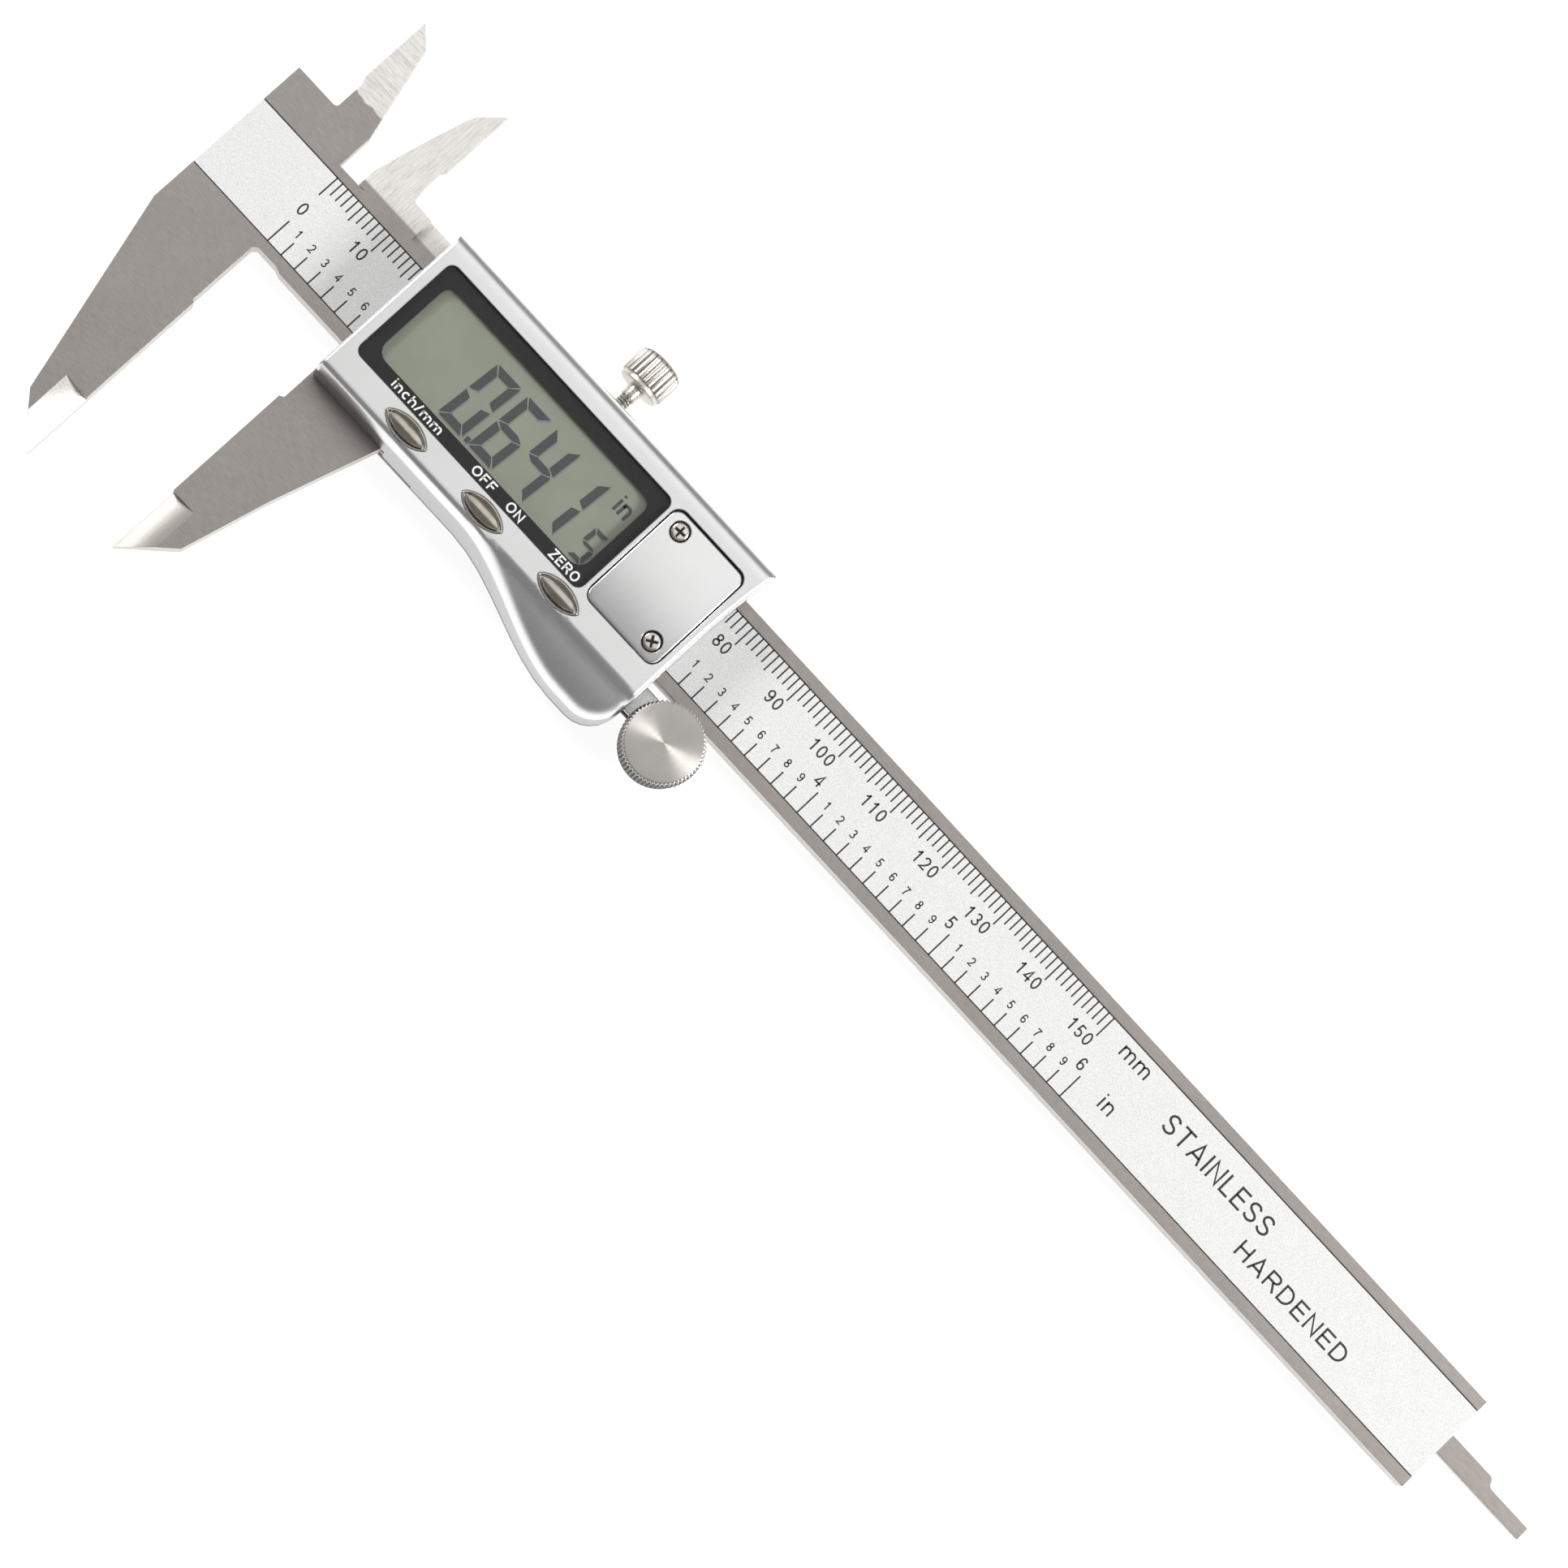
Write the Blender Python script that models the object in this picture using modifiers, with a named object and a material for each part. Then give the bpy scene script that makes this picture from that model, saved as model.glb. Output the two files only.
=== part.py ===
"""Digital caliper, 150 mm range, as separate closed parts.

Plan axes: +X along the beam away from the fixed jaw, +Y towards the inside jaws, +Z out of the
display. The world origin is the centre of the fixed jaw's measuring face. Sizes are in millimetres
and are turned into metres where the meshes are made.
"""
import math

import bmesh
import bpy
from mathutils import Vector

MM = 0.001

# Beam, measured from the fixed jaw's measuring face, the beam's centre line and its front face.
BEAM_THICK = 3.5
BEAM_HALF = 8.0
BEAM_LEFT = -13.8
BEAM_RIGHT = 221.3
JAW_TIP_Y = -48.0
JAW_FACE_TOP_Y = -18.9
JAW_FACE_MID_Y = -28.2
BLADE_SPLIT_Z = -1.82
INSIDE_EDGE_X = -7.2
INSIDE_TIP_Y = 29.0
BLADE_SHELF_X = -3.05
SCALE_LOW_Y = -6.25
SCALE_HIGH_Y = 6.35
SCALE_DEPTH = 0.8
GROOVE_LOW_Y = -1.45
GROOVE_HIGH_Y = 2.3
GROOVE_TOP_Z = -1.95
KNIFE_TOP_Y = -37.5
KNIFE_WIDTH = 3.95
KNIFE_SLOPE = math.radians(27.0)

# Slider, measured along X from the movable jaw's measuring face.
OPENING = 16.28
WEB_TOP_Z = -3.65
WEB_LOW_Z = -5.3
RAIL_RIGHT = 58.9
RAIL_LOW_Y = -12.5
RAIL_HIGH_Y = 11.9
CHANNEL_HIGH_Y = 9.35
BODY_LEFT = 1.05
BODY_RIGHT = 60.35
BODY_CORNER = 61.35
BODY_TOP_Y = 12.2
BODY_LOW_Y = -13.9
GRIP_LOW_Y = -19.3
GRIP_START_X = 28.0
GRIP_END_X = 52.5
GRIP_RADIUS = 4.85
FRONT_Z = 8.0
WALL = 1.2
FRONT_WALL = 1.4
HOUSING_BASE_Z = 0.15
HOUSING_LOW_Z = -3.2
HOUSING_ROUND = 1.3
COVER_TOP_Z = -5.45
COVER_LOW_Z = -6.1

WINDOW_CENTRE = (24.0, -0.2)
WINDOW_SIZE = (42.2, 17.2)
WINDOW_RADIUS = 1.2
DISPLAY_CENTRE = (24.05, -0.2)
DISPLAY_SIZE = (38.5, 13.2)
DISPLAY_RADIUS = 1.8
LIP_Z = 7.15

BUTTON_Y = -11.0
BUTTON_XS = {"unit": 14.9, "power": 29.3, "zero": 43.7}
BUTTON_SIZE = (6.3, 2.4)
BUTTON_TOP_Z = 8.4
BUTTON_STEM_Z = 2.75

CELL_CENTRE = (52.4, 0.0)
CELL_RADIUS = 5.8
CELL_LOW_Z = 1.62
CELL_TOP_Z = 7.0
BATTERY_COVER_SIZE = (13.0, 17.1)
BATTERY_SCREWS = {"upper": (48.45, 6.35), "lower": (56.4, -6.15)}

BOARD_LOW_Z = 0.35
BOARD_TOP_Z = 1.35
LCD_LOW_Z = 5.2
LCD_TOP_Z = 6.35

BODY_SCREWS = {
    "upper_left": (4.5, 10.5, HOUSING_BASE_Z),
    "upper_right": (57.0, 10.5, HOUSING_BASE_Z),
    "lower_left": (4.6, -11.4, HOUSING_BASE_Z),
    "lower_right": (56.3, -16.7, HOUSING_LOW_Z),
}
BODY_SCREW_RADIUS = 0.7
BOSS_TOP_Z = 3.6

LOCK_X = 30.6
LOCK_Z = -1.75
GIB_SCREWS = {"left": 12.0, "right": 50.0}
ROLLER_CENTRE = (67.1, -13.55)
ROLLER_HUB_RADIUS = 5.5
ROLLER_RADIUS = 5.7
ROLLER_TOP_Z = 4.6
ROLLER_BACK_Z = -1.6
ROD_LOW_Y = -1.2
ROD_HIGH_Y = 2.05
ROD_LEFT = 50.0
ROD_PIN = (53.0, 0.42)
RIVET = (53.5, -11.0)

SLOT_HALF = 0.14      # half width of a screw's cross recess
SLOT_DEPTH = 0.35
OPEN_END = 10.0     # how far a cutter runs past the solid it opens

MATERIALS = {
    "ground_steel": ((0.62, 0.60, 0.57), 0.32, 1.0),
    "scale_silver": ((0.80, 0.80, 0.79), 0.45, 0.6),
    "board_green": ((0.05, 0.22, 0.12), 0.55, 0.0),
    "brass": ((0.72, 0.55, 0.28), 0.35, 1.0),
    "satin_chrome": ((0.76, 0.77, 0.79), 0.28, 1.0),
    "bright_nickel": ((0.78, 0.76, 0.71), 0.16, 1.0),
    "clear_plastic": ((0.90, 0.92, 0.90), 0.08, 0.0),
    "black_ink": ((0.02, 0.02, 0.022), 0.35, 0.0),
    "display_glass": ((0.33, 0.36, 0.31), 0.25, 0.0),
    "black_plastic": ((0.03, 0.03, 0.03), 0.5, 0.0),
    "dark_rubber": ((0.05, 0.05, 0.055), 0.8, 0.0),
    "galvanised_steel": ((0.55, 0.56, 0.57), 0.5, 1.0),
    "turned_steel": ((0.66, 0.63, 0.58), 0.26, 1.0),
}


def clear_scene():
    for old in list(bpy.data.objects):
        bpy.data.objects.remove(old, do_unlink=True)


def new_collection(name):
    collection = bpy.data.collections.new(name)
    bpy.context.scene.collection.children.link(collection)
    return collection


def new_material(name):
    colour, roughness, metallic = MATERIALS[name]
    material = bpy.data.materials.new(name)
    material.use_nodes = True
    shader = material.node_tree.nodes["Principled BSDF"]
    shader.inputs["Base Color"].default_value = (*colour, 1.0)
    shader.inputs["Roughness"].default_value = roughness
    shader.inputs["Metallic"].default_value = metallic
    return material


def new_empty(name, location, parent=None):
    empty = bpy.data.objects.new(name, None)
    empty.location = Vector(location) * MM
    empty.parent = parent
    parts.objects.link(empty)
    return empty


def new_part(name, mesh, material, parent, location=(0, 0, 0), rotation=(0, 0, 0)):
    """A visible part. With no material it is a cutter, kept out of the build."""
    part = bpy.data.objects.new(name, mesh)
    part.location = Vector(location) * MM
    part.rotation_euler = rotation
    part.parent = parent
    if material is None:
        part.hide_render = True
        part.display_type = "WIRE"
        cutters.objects.link(part)
        return part
    if not mesh.materials:
        mesh.materials.append(materials[material])
    parts.objects.link(part)
    return part


def finished_mesh(name, bm):
    bmesh.ops.recalc_face_normals(bm, faces=bm.faces)
    mesh = bpy.data.meshes.new(name)
    bm.to_mesh(mesh)
    bm.free()
    return mesh


def box(name, low, high, material, parent):
    low = Vector(low)
    high = Vector(high)
    bm = bmesh.new()
    bmesh.ops.create_cube(bm, size=1.0)
    bmesh.ops.scale(bm, vec=(high - low) * MM, verts=bm.verts)
    return new_part(name, finished_mesh(name, bm), material, parent, (low + high) / 2)


def sloped_box(name, pivot, low, high, rotation, parent):
    """A cutter set out from a pivot and tipped about it, to mill a sloping face."""
    bm = bmesh.new()
    bmesh.ops.create_cube(bm, size=1.0)
    low = Vector(low)
    high = Vector(high)
    bmesh.ops.scale(bm, vec=(high - low) * MM, verts=bm.verts)
    bmesh.ops.translate(bm, vec=(low + high) / 2 * MM, verts=bm.verts)
    return new_part(name, finished_mesh(name, bm), None, parent, pivot, rotation)


def rod(name, radius, start, end, material, parent, segments=20, end_radius=None):
    """A round bar or a cone between two points on a line along X, Y or Z."""
    start = Vector(start)
    end = Vector(end)
    bm = bmesh.new()
    bmesh.ops.create_cone(bm, cap_ends=True, segments=segments, radius1=radius * MM,
                          radius2=(end_radius or radius) * MM, depth=(end - start).length * MM)
    turn = (end - start).to_track_quat("Z", "Y").to_euler()
    return new_part(name, finished_mesh(name, bm), material, parent, (start + end) / 2, turn)


def plate(name, outline, low_z, high_z, material, parent):
    """A flat outline given a thickness, as one welded mesh."""
    curve = bpy.data.curves.new(name, "CURVE")
    curve.dimensions = "2D"
    curve.fill_mode = "BOTH"
    curve.extrude = (high_z - low_z) / 2 * MM
    spline = curve.splines.new("POLY")
    spline.points.add(len(outline) - 1)
    for point, (x, y) in zip(spline.points, outline):
        point.co = (x * MM, y * MM, 0, 1)
    spline.use_cyclic_u = True
    drawing = bpy.data.objects.new(name + "_outline", curve)
    bpy.context.scene.collection.objects.link(drawing)
    evaluated = drawing.evaluated_get(bpy.context.evaluated_depsgraph_get())
    mesh = bpy.data.meshes.new_from_object(evaluated)
    bpy.data.objects.remove(drawing, do_unlink=True)
    bm = bmesh.new()
    bm.from_mesh(mesh)
    bpy.data.meshes.remove(mesh)
    bmesh.ops.remove_doubles(bm, verts=bm.verts, dist=0.000001)
    mesh = finished_mesh(name, bm)
    return new_part(name, mesh, material, parent, (0, 0, (low_z + high_z) / 2))


def turned(name, profile, material, parent, location=(0, 0, 0), rotation=(0, 0, 0), segments=24):
    """A turned piece. The profile is (radius, height) pairs from the top down the outside."""
    mesh = bpy.data.meshes.new(name)
    points = [(radius * MM, 0.0, height * MM) for radius, height in profile]
    mesh.from_pydata(points, [(i, i + 1) for i in range(len(points) - 1)], [])
    part = new_part(name, mesh, material, parent, location, rotation)
    screw = part.modifiers.new("turn", "SCREW")
    screw.axis = "Z"
    screw.steps = segments
    screw.render_steps = segments
    screw.use_merge_vertices = True
    screw.merge_threshold = 0.000001
    screw.use_smooth_shade = True
    return part


def fluted(name, teeth, sections, material, parent, rotation=(0, 0, 0)):
    """A round piece with straight flutes: (height, radius, flute depth) rings from one end up."""
    bm = bmesh.new()
    corners = bmesh.ops.create_circle(bm, cap_ends=True, segments=2 * teeth, radius=1.0)["verts"]
    face = bm.faces[:][0]
    for index, (height, radius, depth) in enumerate(sections):
        if index:
            grown = bmesh.ops.extrude_face_region(bm, geom=[face])["geom"]
            if index > 1:
                bmesh.ops.delete(bm, geom=[face], context="FACES_ONLY")
            face = next(item for item in grown if isinstance(item, bmesh.types.BMFace))
            corners = [item for item in grown if isinstance(item, bmesh.types.BMVert)]
        for corner in corners:
            turn = math.atan2(corner.co.y, corner.co.x)
            valley = round(turn / math.pi * teeth) % 2
            reach = (radius - depth * valley) * MM
            corner.co = (reach * math.cos(turn), reach * math.sin(turn), height * MM)
    return new_part(name, finished_mesh(name, bm), material, parent, (0, 0, 0), rotation)


def cut(part, *tools, operation="DIFFERENCE"):
    for tool in tools:
        modifier = part.modifiers.new(tool.name, "BOOLEAN")
        modifier.operation = operation
        modifier.solver = "EXACT"
        modifier.object = tool


def rounded_rectangle(centre, size, radius, steps=4):
    points = []
    for quarter in range(4):
        middle = math.radians(45 + 90 * quarter)
        cx = centre[0] + math.copysign(size[0] / 2 - radius, math.cos(middle))
        cy = centre[1] + math.copysign(size[1] / 2 - radius, math.sin(middle))
        for step in range(steps + 1):
            turn = math.radians(90 * quarter + 90 * step / steps)
            points.append((cx + radius * math.cos(turn), cy + radius * math.sin(turn)))
    return points


def lens(centre, size, steps=10):
    """Two equal arcs that meet in points at the left and right ends."""
    half_width = size[0] / 2
    half_height = size[1] / 2
    radius = (half_width ** 2 + half_height ** 2) / (2 * half_height)
    reach = math.asin(half_width / radius)
    points = []
    for side in (1, -1):
        for step in range(steps):
            turn = -reach + 2 * reach * step / steps
            x = radius * math.sin(turn) * side
            y = (radius * math.cos(turn) - (radius - half_height)) * side
            points.append((centre[0] + x, centre[1] + y))
    return points


def housing_outline():
    """The slider's body seen from the front, clockwise from its upper left corner."""
    points = [(BODY_LEFT, BODY_TOP_Y)]
    for step in range(6):
        y = BODY_TOP_Y - 3.0 * step
        flare = (y + 3.0) / (BODY_TOP_Y + 3.0)
        points.append((BODY_RIGHT + (BODY_CORNER - BODY_RIGHT) * flare ** 2, y))
    for step in range(7):
        turn = math.radians(-90 * step / 6)
        x = BODY_RIGHT - GRIP_RADIUS + GRIP_RADIUS * math.cos(turn)
        points.append((x, GRIP_LOW_Y + GRIP_RADIUS + GRIP_RADIUS * math.sin(turn)))
    for step in range(9):
        share = 1 - step / 8
        ease = share * share * (3 - 2 * share)
        x = GRIP_START_X + (GRIP_END_X - GRIP_START_X) * share
        points.append((x, BODY_LOW_Y + (GRIP_LOW_Y - BODY_LOW_Y) * ease))
    points.append((BODY_LEFT, BODY_LOW_Y))
    return points


def inset(outline, distance):
    """A clockwise outline moved inwards."""
    corners = [Vector(point) for point in outline]
    moved = []
    for index, corner in enumerate(corners):
        before = (corner - corners[index - 1]).normalized()
        after = (corners[(index + 1) % len(corners)] - corner).normalized()
        inward = Vector((before.y, -before.x))
        middle = (inward + Vector((after.y, -after.x))).normalized()
        moved.append(tuple(corner + middle * distance / middle.dot(inward)))
    return moved


def cross_screw(name, top, head, shank_radius, length, material, parent, from_back=False):
    """A screw hung from the middle of its head, with a cross recess. The head is (radius, height) pairs."""
    profile = [(0, 0), *head, (shank_radius, head[-1][1]), (shank_radius, 0.25 - length),
               (0.6 * shank_radius, -length), (0, -length)]
    flip = (math.pi, 0, 0) if from_back else (0, 0, 0)
    screw = turned(name, profile, material, parent, top, flip, 16)
    reach = 0.62 * head[0][0]
    for direction, size in (("x", (reach, SLOT_HALF)), ("y", (SLOT_HALF, reach))):
        slot = box(f"{name}_slot_{direction}", (-size[0], -size[1], -SLOT_DEPTH), (size[0], size[1], 1), None,
                   screw)
        cut(screw, slot)
    return screw


def make_beam(root):
    """Rule, fixed outside jaw and fixed inside blade, ground from one plate."""
    outline = [
        (BEAM_LEFT, 12.55), (-7.2, 12.55), (-6.85, 12.7), (-6.7, 13.05), (-6.7, 16.9),
        (INSIDE_EDGE_X, 18.3), (INSIDE_EDGE_X, INSIDE_TIP_Y), (-4.4, 26.5), (-2.15, 18.2),
        (-0.7, 13.0), (-0.7, 7.65), (3.6, 7.65), (4.6, BEAM_HALF),
        (BEAM_RIGHT, BEAM_HALF), (BEAM_RIGHT, -BEAM_HALF), (4.6, -BEAM_HALF), (3.6, -7.65),
        (0.2, -7.65), (-0.35, -8.2), (-0.35, JAW_FACE_TOP_Y + 0.3), (0.0, JAW_FACE_TOP_Y),
        (0.0, JAW_TIP_Y), (-3.8, -44.3), (-5.9, -42.0), (-9.35, -29.25), (BEAM_LEFT, -13.1),
    ]
    beam = plate("beam", outline, -BEAM_THICK, 0, "ground_steel", root)
    cut(
        beam,
        box("scale_channel", (BEAM_LEFT - OPEN_END, SCALE_LOW_Y, -SCALE_DEPTH),
            (BEAM_RIGHT + OPEN_END, SCALE_HIGH_Y, 1), None, root),
        box("rod_groove", (30, GROOVE_LOW_Y, -BEAM_THICK - 1),
            (BEAM_RIGHT + OPEN_END, GROOVE_HIGH_Y, GROOVE_TOP_Z), None, root),
        box("blade_clearance", (BEAM_LEFT - OPEN_END, BEAM_HALF + 0.02, -BEAM_THICK - 1),
            (OPEN_END, INSIDE_TIP_Y + 1, BLADE_SPLIT_Z), None, root),
        sloped_box("fixed_knife_face", (-KNIFE_WIDTH, KNIFE_TOP_Y, 0), (0, -14, 0), (8, 0, 4),
                   (0, KNIFE_SLOPE, 0), root),
    )
    for y in (-4.6, 4.6):
        cut(beam, rod(f"stop_hole_{y:+.0f}", 0.75, (216, y, -4.5), (216, y, -1.6), None, root))


def make_scale(root):
    """The capacitive strip and the label printed with both scales."""
    left = BEAM_LEFT + 0.05
    right = BEAM_RIGHT - 0.05
    box("scale_stator", (left, SCALE_LOW_Y + 0.1, -0.75), (right, SCALE_HIGH_Y - 0.1, -0.3),
        "board_green", root)
    box("scale_label", (left, SCALE_LOW_Y + 0.06, -0.25), (right, SCALE_HIGH_Y - 0.06, -0.03),
        "scale_silver", root)


def make_end_stop(root):
    stop = plate("end_stop_plate", rounded_rectangle((216, 0), (6.8, 13.6), 1.0), -4.4, -3.55,
                 "galvanised_steel", root)
    for name, y in (("lower", -4.6), ("upper", 4.6)):
        cut(stop, rod(f"stop_plate_hole_{name}", 0.8, (216, y, -5), (216, y, -3), None, root))
        head = [(1.0, 0), (1.3, -0.2), (1.3, -0.57)]
        cross_screw(f"end_stop_screw_{name}", (216, y, -5.0), head, 0.65, 3.2, "galvanised_steel", root,
                    from_back=True)


def make_slider_frame(slider):
    """Movable jaw, inside blade and both rails in the beam's plane, on a web behind the beam."""
    jaw_and_rails = [
        (0.0, JAW_TIP_Y - 0.1), (0.0, JAW_FACE_TOP_Y), (0.6, JAW_FACE_TOP_Y + 0.35), (0.6, -7.9),
        (-5.0, -6.0), (-13.7, -3.0), (-13.7, 10.9), (-12.7, 15.7), (-11.9, 19.2), (-10.6, 24.3),
        (-10.0, 25.9), (INSIDE_EDGE_X, INSIDE_TIP_Y), (INSIDE_EDGE_X, 18.0), (-7.7, 17.2),
        (-7.6, 15.0), (-7.35, 12.4), (-7.0, 12.05), (BLADE_SHELF_X, RAIL_HIGH_Y), (RAIL_RIGHT, RAIL_HIGH_Y),
        (RAIL_RIGHT, RAIL_LOW_Y), (14.35, RAIL_LOW_Y), (9.4, -29.3), (6.3, -41.9), (3.85, -44.3),
    ]
    frame = plate("slider_frame", jaw_and_rails, WEB_TOP_Z - 0.35, 0, "ground_steel", slider)
    body = inset(housing_outline(), 0.15)
    web_outline = [(-13.5, 10.7), (-13.3, 11.8)] + body + [(1.2, -7.9), (-5.0, -5.9), (-13.5, -2.9)]
    web = plate("web_shape", web_outline, WEB_LOW_Z, WEB_TOP_Z + 0.05, None, slider)
    cut(frame, web, operation="UNION")
    cut(
        frame,
        box("beam_channel", (1.5, -BEAM_HALF - 0.1, WEB_TOP_Z), (BODY_CORNER + OPEN_END, CHANNEL_HIGH_Y, 1),
            None, slider),
        box("beam_channel_left", (-24, -BEAM_HALF - 0.1, WEB_TOP_Z), (1.6, BEAM_HALF + 0.1, 1), None, slider),
        box("blade_front", (-24, 8.0, -1.92), (BLADE_SHELF_X, 40, 1), None, slider),
        box("plate_front", (BLADE_SHELF_X - 0.7, 8.0, -2.7), (1.55, 40, 1), None, slider),
        box("blade_back", (-24, 12.1, -8), (-2, 40, -BEAM_THICK), None, slider),
        box("jaw_back", (-6, -60, -8), (20, -13.5, -BEAM_THICK), None, slider),
        sloped_box("movable_knife_face", (KNIFE_WIDTH, KNIFE_TOP_Y, 0), (-8, -14, 0), (0, 0, 4),
                   (0, -KNIFE_SLOPE, 0), slider),
        box("bracket_pocket", (49.5, -13.75, -4.75), (BODY_CORNER + OPEN_END, -8.5, -3.45), None, slider),
        rod("lock_hole", 1.22, (LOCK_X, 9, LOCK_Z), (LOCK_X, 14, LOCK_Z), None, slider),
        rod("rod_pin_hole", 0.8, (*ROD_PIN, -6), (*ROD_PIN, -3), None, slider),
        rod("rivet_hole", 0.8, (*RIVET, -6), (*RIVET, -4), None, slider),
    )
    for side, x in GIB_SCREWS.items():
        cut(frame, rod(f"gib_screw_hole_{side}", 1.05, (x, 9, LOCK_Z), (x, 14, LOCK_Z), None, slider))
    for corner, (x, y, base) in BODY_SCREWS.items():
        cut(frame, rod(f"frame_hole_{corner}", BODY_SCREW_RADIUS + 0.12, (x, y, -8), (x, y, 2), None, slider,
                       segments=12))


def make_gib(slider, gib, lock):
    """Brass strip above the beam, its two set screws and the knurled lock screw."""
    box("gib_strip", (2.2, BEAM_HALF + 0.13, -3.3), (RAIL_RIGHT - 0.6, 9.2, -0.25), "brass", gib)
    for side, x in GIB_SCREWS.items():
        profile = [(0, 0.5), (0.45, 0.5), (0.45, 1.2), (0.8, 1.2), (0.95, 1.0), (0.95, -0.9), (0.7, -1.15),
                   (0, -1.15)]
        turned(f"gib_screw_{side}", profile, "turned_steel", slider, (x, 10.5, LOCK_Z),
               (-math.pi / 2, 0, 0), 16)
    sections = [(-2.75, 0.8, 0), (-2.5, 1.1, 0), (3.75, 1.1, 0), (3.8, 0.97, 0), (4.7, 0.97, 0),
                (4.75, 3.0, 0), (4.9, 3.14, 0), (5.45, 3.14, 0), (5.5, 3.4, 0.3), (5.65, 3.45, 0.3),
                (9.0, 3.45, 0.3), (9.4, 3.2, 0.12), (9.75, 2.7, 0), (10.0, 1.5, 0)]
    fluted("lock_screw", 26, sections, "bright_nickel", lock, (-math.pi / 2, 0, 0))


def round_front_rim(part, width):
    """Rounds the edges that run round the front face of a plate."""
    bm = bmesh.new()
    bm.from_mesh(part.data)
    front = max(vertex.co.z for vertex in bm.verts)
    bmesh.ops.dissolve_limit(bm, angle_limit=0.001, verts=bm.verts, edges=bm.edges)
    rim = [edge for edge in bm.edges if all(abs(vertex.co.z - front) < 0.00001 for vertex in edge.verts)]
    bmesh.ops.bevel(bm, geom=rim, offset=width * MM, segments=3, profile=0.5, affect="EDGES")
    bm.to_mesh(part.data)
    bm.free()


def make_housing(slider):
    """Hollow chrome body with its window, battery bay, button slots and finger grip."""
    housing = plate("front_housing", housing_outline(), HOUSING_LOW_Z, FRONT_Z, "satin_chrome", slider)
    round_front_rim(housing, HOUSING_ROUND)
    cut(
        housing,
        plate("housing_cavity", inset(housing_outline(), WALL), HOUSING_LOW_Z - 1, FRONT_Z - FRONT_WALL,
              None, slider),
        box("housing_base", (-5, -8.3, -9), (70, 20, HOUSING_BASE_Z), None, slider),
        box("jaw_clearance", (-5, -30, -9), (14.6, -8.2, HOUSING_BASE_Z), None, slider),
    )
    for corner, (x, y, base) in BODY_SCREWS.items():
        cut(housing, rod(f"boss_{corner}", 1.4, (x, y, base), (x, y, BOSS_TOP_Z), None, slider),
            operation="UNION")
        cut(housing, rod(f"boss_hole_{corner}", BODY_SCREW_RADIUS + 0.1, (x, y, -9), (x, y, BOSS_TOP_Z - 0.7),
                         None, slider, segments=12))
    for name, (x, y) in BATTERY_SCREWS.items():
        cut(housing, rod(f"battery_boss_{name}", 0.9, (x, y, 4.9), (x, y, 6.8), None, slider),
            operation="UNION")
    window = (WINDOW_SIZE[0] + 0.1, WINDOW_SIZE[1] + 0.1)
    display = (DISPLAY_SIZE[0] + 1.2, DISPLAY_SIZE[1] + 1.2)
    bay = (BATTERY_COVER_SIZE[0] + 0.12, BATTERY_COVER_SIZE[1] + 0.12)
    cut(
        housing,
        plate("window_recess", rounded_rectangle(WINDOW_CENTRE, window, WINDOW_RADIUS), LIP_Z, FRONT_Z + 1,
              None, slider),
        plate("display_opening", rounded_rectangle(DISPLAY_CENTRE, display, DISPLAY_RADIUS), 6, FRONT_Z + 1,
              None, slider),
        plate("cover_recess", rounded_rectangle(CELL_CENTRE, bay, 1.5), 7.05, FRONT_Z + 1, None, slider),
        rod("cell_opening", CELL_RADIUS + 0.35, (*CELL_CENTRE, 6), (*CELL_CENTRE, FRONT_Z + 1), None, slider,
            segments=40),
    )
    for x in BUTTON_XS.values():
        slot = (BUTTON_SIZE[0] + 0.24, BUTTON_SIZE[1] + 0.24)
        cut(housing, plate("button_slot", lens((x, BUTTON_Y), slot), 6, FRONT_Z + 1, None, slider))
    for name, (x, y) in BATTERY_SCREWS.items():
        cut(housing, rod(f"battery_screw_hole_{name}", 0.56, (x, y, 4), (x, y, 8), None, slider, segments=12))


def make_display(slider):
    """Clear window, its black mask, the display and the parts that carry it on the board."""
    plate("display_window", rounded_rectangle(WINDOW_CENTRE, WINDOW_SIZE, WINDOW_RADIUS), 7.32, 7.92,
          "clear_plastic", slider)
    mask = plate("window_mask", rounded_rectangle(WINDOW_CENTRE, WINDOW_SIZE, WINDOW_RADIUS), 7.18, 7.29,
                 "black_ink", slider)
    cut(mask, plate("mask_opening", rounded_rectangle(DISPLAY_CENTRE, DISPLAY_SIZE, DISPLAY_RADIUS), 7, 8,
                    None, slider))
    middle = Vector(DISPLAY_CENTRE)
    half = Vector((19.95, 7.3))
    box("lcd_panel", (*(middle - half), LCD_LOW_Z), (*(middle + half), LCD_TOP_Z), "display_glass", slider)
    frame = plate("lcd_frame", rounded_rectangle(DISPLAY_CENTRE, (41.4, 16.6), 0.8, 2), 1.45, 6.5,
                  "black_plastic", slider)
    seat = half + Vector((0.1, 0.1))
    cut(frame, box("lcd_seat", (*(middle - seat), 0), (*(middle + seat), 9), None, slider))
    for name, y in (("lower", -6.7), ("upper", 6.2)):
        box(f"zebra_strip_{name}", (5, y - 0.6, BOARD_TOP_Z + 0.05), (43, y + 0.6, LCD_LOW_Z - 0.05),
            "dark_rubber", slider)
    box("circuit_board", (6.6, -12.45, BOARD_LOW_Z), (58.8, 8.6, BOARD_TOP_Z), "board_green", slider)
    box("readout_chip", (18, -3.5, BOARD_TOP_Z + 0.05), (30, 3, BOARD_TOP_Z + 1.1), "black_plastic", slider)
    for name, x in BUTTON_XS.items():
        rod(f"dome_switch_{name}", 1.7, (x, BUTTON_Y, BOARD_TOP_Z + 0.05), (x, BUTTON_Y, 2.3),
            "bright_nickel", slider, end_radius=1.0)


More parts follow.
